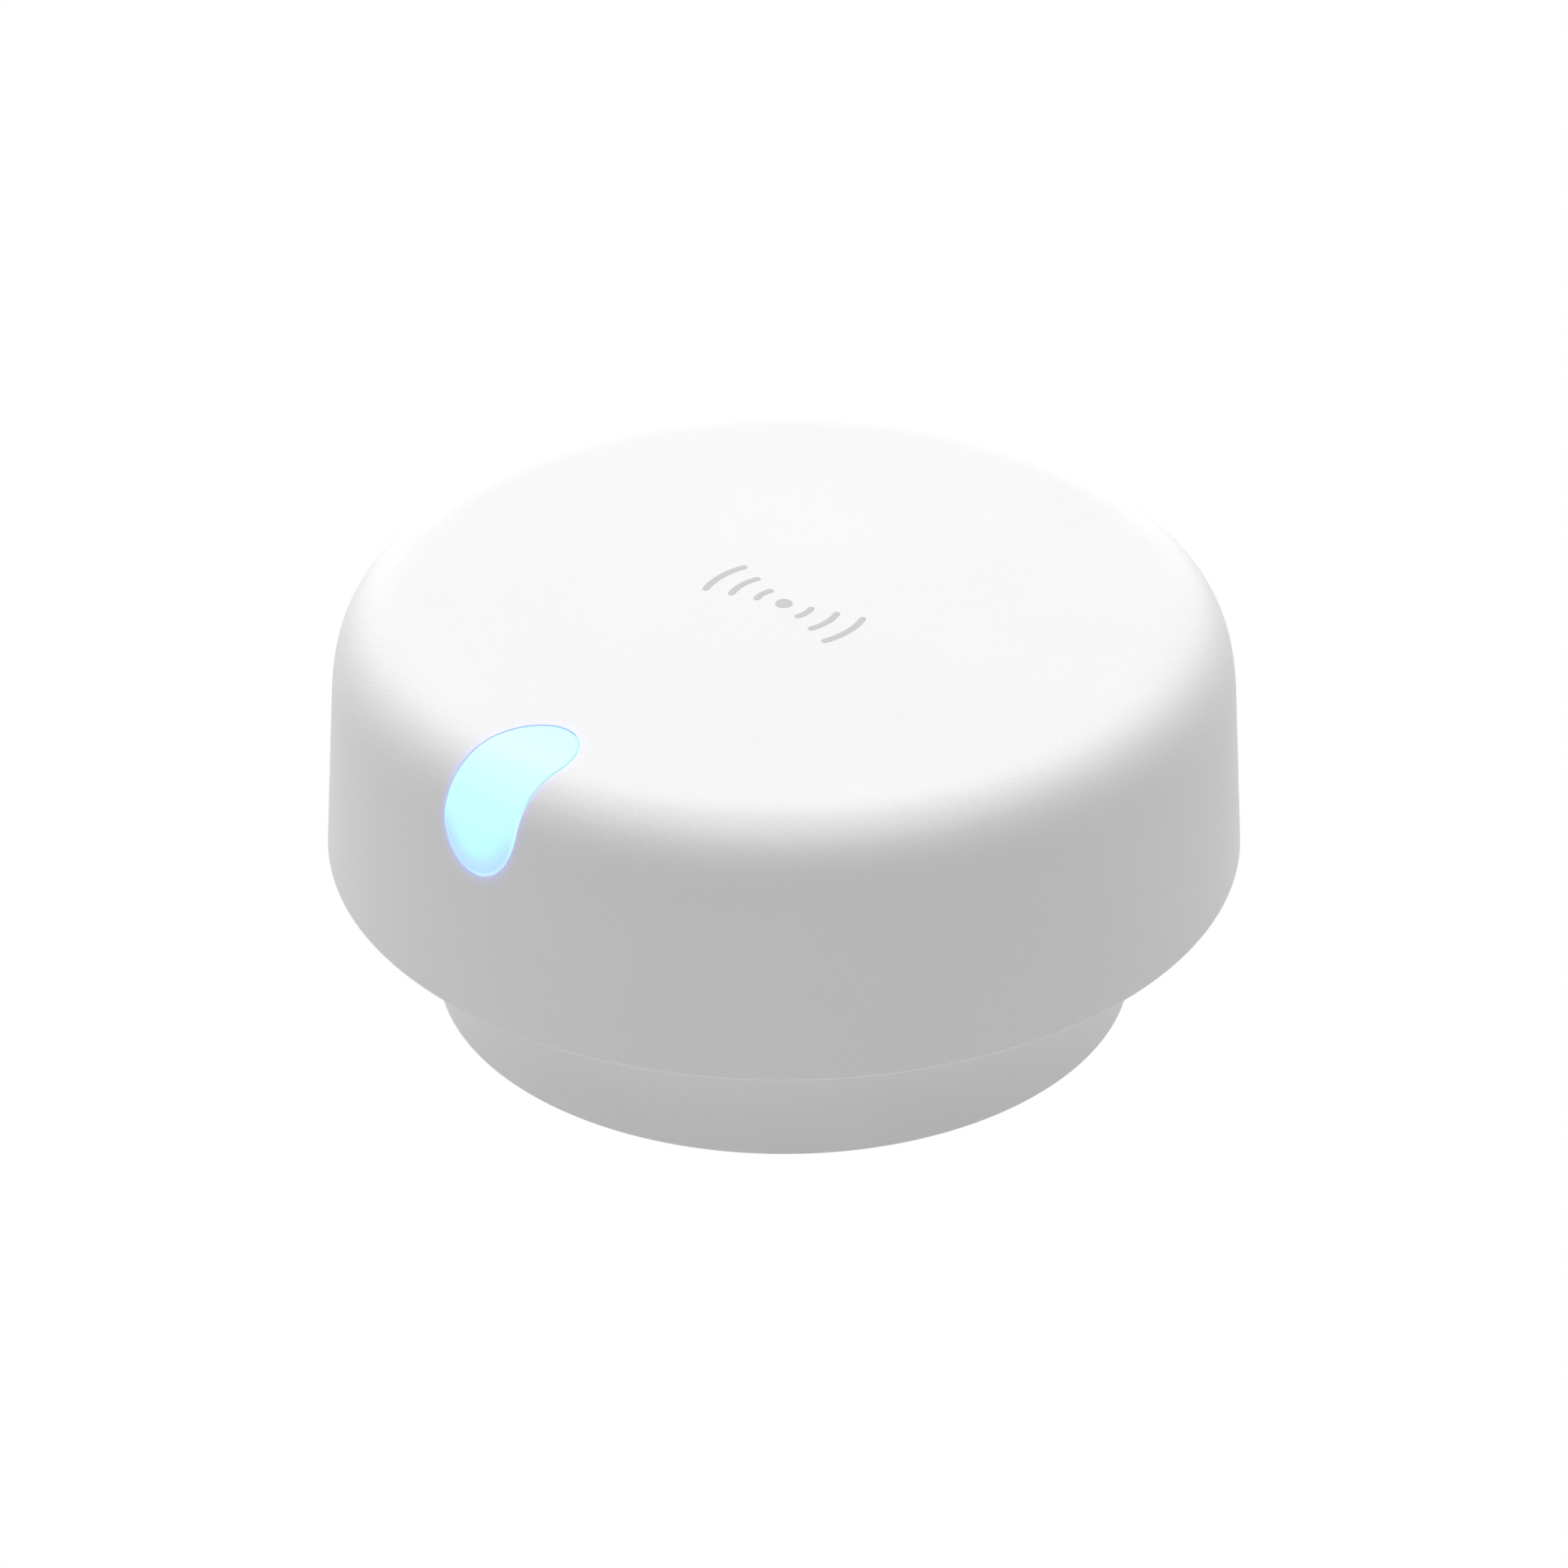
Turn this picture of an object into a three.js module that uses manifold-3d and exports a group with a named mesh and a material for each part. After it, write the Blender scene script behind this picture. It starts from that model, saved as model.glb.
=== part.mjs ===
// Room presence sensor on a folding swivel stand, folded flat.
// Millimetres, +Z up out of the sensing face, origin at the centre of the foot pad's underside.
// The crescent button is on the +Y side and the tilt hinge on the -Y side.

import * as THREE from 'three';
import { mergeVertices } from 'three/addons/utils/BufferGeometryUtils.js';
import Module from 'manifold-3d';

const wasm = await Module();
wasm.setup();

// ---------- Driving dimensions ----------

// Overall form
const HEAD_RADIUS = 32;
const TOTAL_HEIGHT = 29.5;
const HEAD_BASE_Z = 11.1;
const STAND_RADIUS = 24.5;
const STAND_TOP_Z = 10.5;

// Head outline: a drafted side, a superellipse corner and a slightly crowned face
const DRAFT_SLOPE = Math.tan(THREE.MathUtils.degToRad(3));
const CORNER_WIDTH = 5.55;
const CORNER_HEIGHT = 6.9;
const CORNER_EXPONENT = 3;
const CROWN_RISE = 0.24;
const HEAD_WALL = 1.8;

// Fits
const RUNNING_CLEARANCE = 0.3;
const SEAT_GAP = 0.1;
const SCREW_CLEARANCE = 0.1;
const PIN_CLEARANCE = 0.08;

// Stand
const STAND_WALL = 1.6;
const STAND_EDGE_ROUND = 0.5;
const PAD_PROUD = 0.15;
const PAD_THICKNESS = 1;
const PAD_MARGIN = 0.5;
const PLATE_THICKNESS = 2.2;
const PLATE_CLEARANCE = 0.25;
const BALLAST_CLEARANCE = 0.4;
const STAND_SCREW_CIRCLE = 15.5;
const STAND_BOSS_RADIUS = 2.4;

// Tilt hinge
const KNUCKLE_RADIUS = 2.1;
const HINGE_INSET = 0.4;
const CENTRE_KNUCKLE_LENGTH = 8.4;
const OUTER_KNUCKLE_LENGTH = 4.1;
const HINGE_WASHER_THICKNESS = 0.5;
const HINGE_WASHER_RADIUS = 1.8;
const PIN_RADIUS = 1;
const NOTCH_WALL = 1.3;
const LEAF_ROOT = 1.2;

// Turntable and swivel
const LEDGE_WIDTH = 5.9;
const TURNTABLE_THICKNESS = 2.6;
const RECESS_WALL = 1.4;
const BACK_THICKNESS = 2;
const BACK_SETBACK = 0.2;
const HUB_RADIUS = 8;
const WASHER_SPACE = 1.5;
const WASHER_THICKNESS = 0.4;
const WASHER_WAVE = 0.4;
const RETAINER_RADIUS = 11;
const RETAINER_THICKNESS = 1;
const RETAINER_BORE = 2;
const RETAINER_SCREW_CIRCLE = 5;

// Head fastenings
const HEAD_BOSS_RADIUS = 1.9;
const HEAD_BOSS_HEIGHT = 9;
const BOARD_POST_RADIUS = 2.2;
const COUNTERBORE_CLEARANCE = 0.15;

// Boards and the pieces on them
const BOARD_THICKNESS = 1.2;
const BOARD_MARGIN = 5.2;
const BOARD_LIFT = 0.2;
const BOARD_POST_INSET = 6;
const RADAR_BOARD = { width: 24, depth: 20, thickness: 0.8, centreY: 2, ceilingGap: 1.8 };
const RADAR_CHIP = { size: 10, thickness: 0.9 };
const THERMAL_PAD = { size: 9, thickness: 0.7 };
const SPREADER = { width: 15, depth: 10, plate: 1.2, leg: 1.2, centreY: -1 };
const STANDOFF_RADIUS = 1.9;
const STANDOFF_INSET = 2.2;
const LINK_CONNECTOR = { width: 8, depth: 2.4, centreY: 8.4 };
const RADIO_MODULE = { width: 12, depth: 9, height: 2.4, centreX: 9, centreY: -14.5 };
const INDUCTOR = { radius: 3, height: 3, centreX: -9, centreY: -14 };

// USB-C inlet in the +X side of the head
const INLET_WIDTH = 8.9;
const INLET_HEIGHT = 3.2;
const INLET_DEPTH = 7.2;
const INLET_WALL = 0.35;
const INLET_BACK_WALL = 1;
const INLET_SETBACK = 0.9;
const INLET_TONGUE = { width: 6.6, height: 0.7, setback: 0.5 };
const PORT_CLEARANCE = 0.3;
const BOARD_TAB_HALF_WIDTH = 6;
const BOARD_TAB_MARGIN = 1.8;

// Crescent button: it slides along its own axis, square to the middle of its face
const BUTTON_ELEVATION = THREE.MathUtils.degToRad(45);
const BUTTON_INSET = 2.6;
const BUTTON_DROP = 1.12;
const BUTTON_HALF_WIDTH = 3.15;
const BUTTON_LENGTH = 11.47;
const BUTTON_CLEARANCE = 0.12;
const BUTTON_FLANGE = 0.75;
const BUTTON_FLANGE_THICKNESS = 0.9;
const BUTTON_STEM_RADIUS = 1.1;
const BUTTON_STEM_REACH = 1.9;
const BUTTON_TRAVEL = 0.4;
const BUTTON_BOARD = { width: 9, length: 9, thickness: 0.8 };
const SWITCH = { size: 3.4, height: 1.5, plungerRadius: 0.9, plungerLength: 1.8, room: 0.7, floor: 0.2 };
const LAMP = { size: 1.6, height: 0.5, offset: 3.1 };
const LIGHT_SENSOR = { size: 1.4, height: 0.5, offset: 2.9 };
const CHEEK_WALL = 1.2;
const CHEEK_LEDGE = 0.7;
const FLEX = { width: 5, thickness: 0.2, landing: 3 };

// Screws, and the shares of a head's size that its shape takes
const SCREW_FORM = { slotDepth: 0.6, slotHalf: 0.65, slotWidth: 0.13, edge: 0.6, crown: 0.8, tip: 0.6 };
const HEAD_SCREW = { head: 1.5, headHeight: 0.9, shank: 0.8, length: 6 };
const RETAINER_SCREW = { head: 1.7, headHeight: 1, shank: 0.9, length: 5 };
const BOARD_SCREW = { head: 1.8, headHeight: 1, shank: 0.9, length: 4 };
const STAND_SCREW = { head: 1.9, headHeight: 1, shank: 1, length: 6 };

// Facets
const ROUND_STEPS = 64;
const SMALL_STEPS = 16;
const SCREW_STEPS = 10;
const HEX_STEPS = 6;
const CORNER_STEPS = 7;
const CROWN_STEPS = 1;

// ---------- Sizes that follow from the driving dimensions ----------

const CUT_OVERRUN = 2;
const HINGE_Z = STAND_TOP_Z - KNUCKLE_RADIUS;
const HINGE_Y = -(STAND_RADIUS - HINGE_INSET);
const BACK_Z = HEAD_BASE_Z + BACK_SETBACK;
const TURNTABLE_RADIUS = HEAD_RADIUS - HEAD_WALL - LEDGE_WIDTH - RUNNING_CLEARANCE;
const RECESS_RADIUS = TURNTABLE_RADIUS + RUNNING_CLEARANCE;
const TURNTABLE_TOP_Z = HEAD_BASE_Z + TURNTABLE_THICKNESS;
const CEILING_Z = TURNTABLE_TOP_Z + RUNNING_CLEARANCE;
const CEILING_TOP_Z = CEILING_Z + BACK_THICKNESS;
const HUB_TOP_Z = CEILING_TOP_Z + WASHER_SPACE;
const RETAINER_Z = HUB_TOP_Z + SEAT_GAP;
const RETAINER_TOP_Z = RETAINER_Z + RETAINER_THICKNESS;
const BOARD_Z = RETAINER_TOP_Z + RETAINER_SCREW.headHeight + BOARD_LIFT;
const BOARD_TOP_Z = BOARD_Z + BOARD_THICKNESS;
const PART_Z = BOARD_TOP_Z + SEAT_GAP;
const BOARD_RADIUS = HEAD_RADIUS - HEAD_WALL - BOARD_MARGIN;
const BOARD_POST_CIRCLE = BOARD_RADIUS - BOARD_POST_INSET;
const CORNER_Z = TOTAL_HEIGHT - CROWN_RISE - CORNER_HEIGHT;
const RADAR_Z = TOTAL_HEIGHT - CROWN_RISE - HEAD_WALL - RADAR_BOARD.ceilingGap - RADAR_BOARD.thickness;
const CHIP_Z = RADAR_Z - SEAT_GAP - RADAR_CHIP.thickness;
const THERMAL_Z = CHIP_Z - SEAT_GAP - THERMAL_PAD.thickness;
const HEAD_SCREW_CIRCLE = HEAD_RADIUS - HEAD_WALL - SEAT_GAP - HEAD_BOSS_RADIUS - RUNNING_CLEARANCE;
const PAD_Z = 0;
const PLATE_Z = PAD_THICKNESS + SEAT_GAP;
const PLATE_TOP_Z = PLATE_Z + PLATE_THICKNESS;
const STAND_INNER_RADIUS = STAND_RADIUS - STAND_WALL;
const STAND_ROOF_Z = STAND_TOP_Z - STAND_WALL;
const BARREL_HALF = CENTRE_KNUCKLE_LENGTH / 2 + HINGE_WASHER_THICKNESS + 2 * SEAT_GAP + OUTER_KNUCKLE_LENGTH;
const NOTCH_HALF = BARREL_HALF + RUNNING_CLEARANCE;
const DISC_EDGE_Y = -Math.sqrt(TURNTABLE_RADIUS ** 2 - BARREL_HALF ** 2);
const LEAF_INNER_Y = Math.max(HINGE_Y + KNUCKLE_RADIUS, DISC_EDGE_Y + LEAF_ROOT);
const NOTCH_INNER_Y = LEAF_INNER_Y + RUNNING_CLEARANCE;
const NOTCH_FLOOR_Z = HINGE_Z - KNUCKLE_RADIUS - RUNNING_CLEARANCE;
const INLET_MOUTH_X = HEAD_RADIUS - INLET_SETBACK;
const INLET_TOP_Z = BOARD_Z - SEAT_GAP;
const INLET_MID_Z = INLET_TOP_Z - INLET_HEIGHT / 2;
const BUTTON_STEM_DEPTH = HEAD_WALL + BUTTON_STEM_REACH;
const SWITCH_DEPTH = SWITCH.plungerLength + SWITCH.room + SWITCH.floor;
const BUTTON_BOARD_DEPTH = BUTTON_STEM_DEPTH + SEAT_GAP + SWITCH_DEPTH + SEAT_GAP;
const LAMP_TOP_DEPTH = BUTTON_BOARD_DEPTH - SEAT_GAP - LAMP.height;
const BUTTON_FLOOR_DEPTH = LAMP_TOP_DEPTH - BUTTON_TRAVEL - RUNNING_CLEARANCE;
const THIRD = (2 * Math.PI) / 3;
const SCREW_START = Math.PI / 6;

// ---------- Geometry helpers ----------

// A closed geometry as a solid that can be joined and cut.
function solid(geometry) {
  const plain = geometry.index ? geometry.toNonIndexed() : geometry.clone();
  plain.deleteAttribute('normal');
  plain.deleteAttribute('uv');
  const merged = mergeVertices(plain);
  const corners = merged.index.array;
  const faces = [];
  for (let i = 0; i < corners.length; i += 3) {
    const [a, b, c] = [corners[i], corners[i + 1], corners[i + 2]];
    if (a !== b && b !== c && c !== a) {
      faces.push(a, b, c);
    }
  }
  const vertProperties = new Float32Array(merged.attributes.position.array);
  const triVerts = new Uint32Array(faces);
  return new wasm.Manifold(new wasm.Mesh({ numProp: 3, vertProperties, triVerts }));
}

function join(first, ...others) {
  return others.reduce((sum, other) => sum.add(other), first);
}

function cut(first, ...others) {
  return others.reduce((rest, other) => rest.subtract(other), first);
}

// The solid turned round Z from an outline of [radius, height] pairs.
function revolve(outline, steps = ROUND_STEPS) {
  const points = outline.map(([radius, height]) => new THREE.Vector2(radius, height));
  return solid(new THREE.LatheGeometry(points, steps).rotateX(Math.PI / 2));
}

function disc(radius, lowZ, highZ, steps = ROUND_STEPS) {
  return revolve([[0, lowZ], [radius, lowZ], [radius, highZ], [0, highZ]], steps);
}

function ring(inner, outer, lowZ, highZ, steps = ROUND_STEPS) {
  return revolve([[inner, lowZ], [outer, lowZ], [outer, highZ], [inner, highZ], [inner, lowZ]], steps);
}

// A box between two corners.
function block([lowX, lowY, lowZ], [highX, highY, highZ]) {
  const geometry = new THREE.BoxGeometry(highX - lowX, highY - lowY, highZ - lowZ);
  geometry.translate((lowX + highX) / 2, (lowY + highY) / 2, (lowZ + highZ) / 2);
  return solid(geometry);
}

// A rectangular piece lying on a board, centred at x, y with its underside at z.
function slab(width, depth, height, x, y, z) {
  return block([x - width / 2, y - depth / 2, z], [x + width / 2, y + depth / 2, z + height]);
}

// A cylinder along Z at x, y.
function post(radius, x, y, lowZ, highZ, steps = SMALL_STEPS) {
  return disc(radius, lowZ, highZ, steps).translate([x, y, 0]);
}

// A cylinder along X on the hinge axis.
function barrel(radius, lowX, highX) {
  const geometry = new THREE.CylinderGeometry(radius, radius, highX - lowX, SMALL_STEPS);
  geometry.rotateZ(Math.PI / 2).translate((lowX + highX) / 2, HINGE_Y, HINGE_Z);
  return solid(geometry);
}

// The three evenly spaced places on a screw circle.
function onCircle(radius) {
  return [0, 1, 2].map((k) => {
    const angle = SCREW_START + k * THIRD;
    return [radius * Math.cos(angle), radius * Math.sin(angle)];
  });
}

function finish(color, roughness, metalness = 0) {
  return new THREE.MeshStandardMaterial({ color, roughness, metalness });
}

function piece(name, body, material) {
  const mesh = body.getMesh();
  const geometry = new THREE.BufferGeometry();
  geometry.setAttribute('position', new THREE.BufferAttribute(mesh.vertProperties, mesh.numProp));
  geometry.setIndex(new THREE.BufferAttribute(mesh.triVerts, 1));
  geometry.computeVertexNormals();
  const part = new THREE.Mesh(geometry, material);
  part.name = name;
  return part;
}

// ---------- Materials ----------

const whiteShell = () => finish(0xf1f1ef, 0.6);
const whiteInner = () => finish(0xe4e4e0, 0.7);
const lightGuide = () => finish(0xd7f6ff, 0.35);
const greenBoard = () => finish(0x1f5a3c, 0.55);
const blackPlastic = () => finish(0x222326, 0.6);
const nylon = () => finish(0xdedbd0, 0.6);
const steel = () => finish(0x9a9ca0, 0.35, 0.9);
const castIron = () => finish(0x56585b, 0.7, 0.8);
const aluminium = () => finish(0xb8babd, 0.4, 0.9);
const greyRubber = () => finish(0xc9cac9, 0.9);
const thermalGel = () => finish(0x8fa3b5, 0.9);
const amberFilm = () => finish(0xb8722a, 0.5);
const ledLens = () => finish(0xf4f2e4, 0.3);

// ---------- Head outline ----------

// A point on the rounded corner, from 0 at the side to 1 at the face.
function cornerPoint(fraction) {
  const angle = (fraction * Math.PI) / 2;
  const across = Math.cos(angle) ** (2 / CORNER_EXPONENT);
  const up = Math.sin(angle) ** (2 / CORNER_EXPONENT);
  const height = CORNER_Z + CORNER_HEIGHT * up;
  const radius = HEAD_RADIUS - CORNER_WIDTH * (1 - across) - DRAFT_SLOPE * (height - HEAD_BASE_Z);
  return new THREE.Vector2(radius, height);
}

// The same point moved into the wall, square to the surface.
function insetCornerPoint(fraction, inset) {
  const step = 0.001;
  const before = cornerPoint(Math.max(0, fraction - step));
  const after = cornerPoint(Math.min(1, fraction + step));
  const along = after.sub(before).normalize();
  return cornerPoint(fraction).add(new THREE.Vector2(-along.y, along.x).multiplyScalar(inset));
}

// The head's outer form as a solid, thinned all over by inset and standing on baseZ.
function headForm(inset, baseZ) {
  const corner = [];
  for (let i = 0; i <= CORNER_STEPS; i += 1) {
    const point = insetCornerPoint(i / CORNER_STEPS, inset);
    corner.push([Math.max(point.x, 0), point.y]);
  }
  const baseRadius = corner[0][0] + DRAFT_SLOPE * (corner[0][1] - baseZ);
  const [flatRadius, flatZ] = corner[CORNER_STEPS];
  const crown = [];
  for (let i = 1; i <= CROWN_STEPS; i += 1) {
    const reach = i / CROWN_STEPS;
    crown.push([flatRadius * (1 - reach), flatZ + CROWN_RISE * (1 - (1 - reach) ** 2)]);
  }
  return revolve([[0, baseZ], [baseRadius, baseZ], ...corner, ...crown]);
}

// ---------- Button frame: origin on the surface, local Z out along the button's axis ----------

const BUTTON_TURN = -(Math.PI / 2 - BUTTON_ELEVATION);
const BUTTON_PLACE = new THREE.Vector3(0, HEAD_RADIUS - BUTTON_INSET, TOTAL_HEIGHT - BUTTON_DROP);
const BUTTON_MATRIX = new THREE.Matrix4().makeRotationX(BUTTON_TURN).setPosition(BUTTON_PLACE);

// A stadium-shaped prism along the button's axis.
function stadiumPrism(halfWidth, length, lowZ, highZ) {
  const straight = length / 2 - halfWidth;
  const shape = new THREE.Shape();
  shape.absarc(0, straight, halfWidth, 0, Math.PI);
  shape.absarc(0, -straight, halfWidth, Math.PI, 2 * Math.PI);
  const geometry = new THREE.ExtrudeGeometry(shape, {
    depth: highZ - lowZ,
    bevelEnabled: false,
    curveSegments: SCREW_STEPS,
  });
  geometry.translate(0, 0, lowZ).applyMatrix4(BUTTON_MATRIX);
  return solid(geometry);
}

// A box given in the button's frame, placed in the head's.
function buttonBlock([lowX, lowY, lowZ], [highX, highY, highZ]) {
  const geometry = new THREE.BoxGeometry(highX - lowX, highY - lowY, highZ - lowZ);
  geometry.translate((lowX + highX) / 2, (lowY + highY) / 2, (lowZ + highZ) / 2);
  return solid(geometry.applyMatrix4(BUTTON_MATRIX));
}

// ---------- Screws ----------

// A pan-head screw standing on its shank, head up, with a cross recess; z = 0 is under the head.
function screwSolid({ head, headHeight, shank, length }) {
  const slotZ = headHeight * (1 - SCREW_FORM.slotDepth);
  const slotHalf = head * SCREW_FORM.slotHalf;
  const slotWidth = head * SCREW_FORM.slotWidth;
  const top = headHeight + CUT_OVERRUN;
  const body = revolve([
    [0, -length],
    [shank * SCREW_FORM.tip, -length],
    [shank, -length + shank],
    [shank, 0],
    [head, 0],
    [head, headHeight * SCREW_FORM.edge],
    [head * SCREW_FORM.crown, headHeight],
    [0, headHeight],
  ], SCREW_STEPS);
  const slotAlong = block([-slotHalf, -slotWidth, slotZ], [slotHalf, slotWidth, top]);
  const slotAcross = block([-slotWidth, -slotHalf, slotZ], [slotWidth, slotHalf, top]);
  return cut(body, slotAlong, slotAcross);
}

// Three like screws on a circle; seatZ is where the heads bear, and up is the heads' direction.
function screwSet(name, size, circle, seatZ, up) {
  const set = new THREE.Group();
  onCircle(circle).forEach(([x, y], k) => {
    const screw = piece(`${name}_${k + 1}`, screwSolid(size), steel());
    screw.position.set(x, y, seatZ);
    screw.rotation.x = up > 0 ? 0 : Math.PI;
    set.add(screw);
  });
  return set;
}

// Round holes at the three places of a screw circle.
function screwHoles(radius, circle, lowZ, highZ) {
  return onCircle(circle).map(([x, y]) => post(radius, x, y, lowZ, highZ, SCREW_STEPS));
}

// ---------- Stand ----------

function standShell() {
  const body = revolve([
    [0, STAND_ROOF_Z],
    [STAND_INNER_RADIUS, STAND_ROOF_Z],
    [STAND_INNER_RADIUS, PAD_PROUD],
    [STAND_RADIUS, PAD_PROUD],
    [STAND_RADIUS, STAND_TOP_Z - STAND_EDGE_ROUND],
    [STAND_RADIUS - STAND_EDGE_ROUND, STAND_TOP_Z],
    [0, STAND_TOP_Z],
  ]);
  const bosses = onCircle(STAND_SCREW_CIRCLE).map(([x, y]) =>
    post(STAND_BOSS_RADIUS, x, y, PLATE_TOP_Z + SEAT_GAP, STAND_ROOF_Z + STAND_WALL / 2));
  const pilots = screwHoles(STAND_SCREW.shank + SCREW_CLEARANCE, STAND_SCREW_CIRCLE,
    PLATE_TOP_Z, PLATE_TOP_Z + STAND_SCREW.length);
  const pocket = block(
    [-NOTCH_HALF - NOTCH_WALL, -STAND_RADIUS, NOTCH_FLOOR_Z - NOTCH_WALL],
    [NOTCH_HALF + NOTCH_WALL, NOTCH_INNER_Y + NOTCH_WALL, STAND_ROOF_Z + STAND_WALL / 2],
  );
  const envelope = disc(STAND_RADIUS - STAND_WALL / 2, 0, STAND_TOP_Z);
  const notch = block(
    [-NOTCH_HALF, HINGE_Y - 2 * KNUCKLE_RADIUS, NOTCH_FLOOR_Z],
    [NOTCH_HALF, NOTCH_INNER_Y, STAND_TOP_Z + CUT_OVERRUN],
  );
  const half = CENTRE_KNUCKLE_LENGTH / 2;
  const web = block(
    [-half, HINGE_Y, HINGE_Z - KNUCKLE_RADIUS],
    [half, NOTCH_INNER_Y + NOTCH_WALL / 2, STAND_TOP_Z],
  );
  const hollow = cut(join(body, pocket.intersect(envelope), ...bosses), notch, ...pilots);
  const knuckle = join(barrel(KNUCKLE_RADIUS, -half, half), web);
  const pinBore = barrel(PIN_RADIUS + PIN_CLEARANCE, -half - CUT_OVERRUN, half + CUT_OVERRUN);
  return piece('stand_shell', cut(join(hollow, knuckle), pinBore), whiteShell());
}

function standBallast() {
  const plate = disc(STAND_INNER_RADIUS - BALLAST_CLEARANCE, PLATE_TOP_Z + SEAT_GAP, STAND_ROOF_Z - SEAT_GAP);
  const holes = screwHoles(STAND_BOSS_RADIUS + BALLAST_CLEARANCE, STAND_SCREW_CIRCLE, 0, STAND_TOP_Z);
  const pocketRoom = NOTCH_WALL + BALLAST_CLEARANCE;
  const relief = block(
    [-NOTCH_HALF - pocketRoom, -STAND_RADIUS, 0],
    [NOTCH_HALF + pocketRoom, NOTCH_INNER_Y + pocketRoom, STAND_TOP_Z],
  );
  return piece('stand_ballast', cut(plate, relief, ...holes), castIron());
}

function standBottomPlate() {
  const plate = disc(STAND_INNER_RADIUS - PLATE_CLEARANCE, PLATE_Z, PLATE_TOP_Z);
  const holes = screwHoles(STAND_SCREW.shank + SCREW_CLEARANCE, STAND_SCREW_CIRCLE, 0, STAND_TOP_Z);
  const sinks = screwHoles(STAND_SCREW.head + COUNTERBORE_CLEARANCE, STAND_SCREW_CIRCLE,
    0, PLATE_Z + STAND_SCREW.headHeight + SEAT_GAP);
  return piece('stand_bottom_plate', cut(plate, ...holes, ...sinks), whiteInner());
}

function footPad() {
  const pad = disc(STAND_INNER_RADIUS - PLATE_CLEARANCE - PAD_MARGIN, PAD_Z, PAD_THICKNESS);
  return piece('foot_pad', pad, greyRubber());
}

function standAssembly() {
  const stand = new THREE.Group();
  const seatZ = PLATE_Z + STAND_SCREW.headHeight + SEAT_GAP / 2;
  stand.add(standShell(), standBallast(), standBottomPlate(), footPad());
  stand.add(screwSet('stand_screw', STAND_SCREW, STAND_SCREW_CIRCLE, seatZ, -1));
  return stand;
}

// ---------- Turntable and hinge ----------

function turntable() {
  const body = revolve([
    [0, HEAD_BASE_Z],
    [TURNTABLE_RADIUS, HEAD_BASE_Z],
    [TURNTABLE_RADIUS, TURNTABLE_TOP_Z],
    [HUB_RADIUS, TURNTABLE_TOP_Z],
    [HUB_RADIUS, HUB_TOP_Z],
    [0, HUB_TOP_Z],
  ]);
  const inner = CENTRE_KNUCKLE_LENGTH / 2 + HINGE_WASHER_THICKNESS + 2 * SEAT_GAP;
  const leafTop = HEAD_BASE_Z - RUNNING_CLEARANCE;
  const knuckles = [-1, 1].map((side) => {
    const [lowX, highX] = side < 0 ? [-BARREL_HALF, -inner] : [inner, BARREL_HALF];
    const leaf = block([lowX, HINGE_Y - KNUCKLE_RADIUS, HINGE_Z], [highX, LEAF_INNER_Y, leafTop]);
    const rootTop = HEAD_BASE_Z + TURNTABLE_THICKNESS / 2;
    const root = block([lowX, LEAF_INNER_Y - LEAF_ROOT, HINGE_Z], [highX, LEAF_INNER_Y, rootTop]);
    return join(barrel(KNUCKLE_RADIUS, lowX, highX), leaf, root);
  });
  const pinBore = barrel(PIN_RADIUS + PIN_CLEARANCE, -BARREL_HALF - CUT_OVERRUN, BARREL_HALF + CUT_OVERRUN);
  const pilots = screwHoles(RETAINER_SCREW.shank + SCREW_CLEARANCE, RETAINER_SCREW_CIRCLE,
    RETAINER_TOP_Z - RETAINER_SCREW.length - SEAT_GAP, HUB_TOP_Z + CUT_OVERRUN);
  return piece('turntable', cut(join(body, ...knuckles), pinBore, ...pilots), whiteInner());
}

function hingePin() {
  return piece('hinge_pin', barrel(PIN_RADIUS, -BARREL_HALF, BARREL_HALF), steel());
}

function hingeWasher(name, side) {
  const near = CENTRE_KNUCKLE_LENGTH / 2 + SEAT_GAP;
  const far = near + HINGE_WASHER_THICKNESS;
  const [lowX, highX] = side < 0 ? [-far, -near] : [near, far];
  const bore = barrel(PIN_RADIUS + PIN_CLEARANCE, lowX - CUT_OVERRUN, highX + CUT_OVERRUN);
  return piece(name, cut(barrel(HINGE_WASHER_RADIUS, lowX, highX), bore), steel());
}

// A flat spring ring bent into three waves.
function waveWasher() {
  const [inner, outer] = [HUB_RADIUS + RUNNING_CLEARANCE, RETAINER_RADIUS - RUNNING_CLEARANCE];
  const half = WASHER_THICKNESS / 2;
  const outline = [[inner, -half], [outer, -half], [outer, half], [inner, half], [inner, -half]];
  const points = outline.map(([radius, height]) => new THREE.Vector2(radius, height));
  const geometry = new THREE.LatheGeometry(points, ROUND_STEPS).rotateX(Math.PI / 2);
  const place = geometry.attributes.position;
  const midZ = (CEILING_TOP_Z + RETAINER_Z) / 2;
  for (let i = 0; i < place.count; i += 1) {
    const angle = Math.atan2(place.getY(i), place.getX(i));
    place.setZ(i, place.getZ(i) + midZ + WASHER_WAVE * Math.cos(3 * angle));
  }
  return piece('wave_washer', solid(geometry), steel());
}

function retainingDisc() {
  const plate = ring(RETAINER_BORE, RETAINER_RADIUS, RETAINER_Z, RETAINER_TOP_Z);
  const holes = screwHoles(RETAINER_SCREW.shank + SCREW_CLEARANCE, RETAINER_SCREW_CIRCLE,
    HUB_TOP_Z - CUT_OVERRUN, RETAINER_TOP_Z + CUT_OVERRUN);
  return piece('retaining_disc', cut(plate, ...holes), steel());
}

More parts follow.
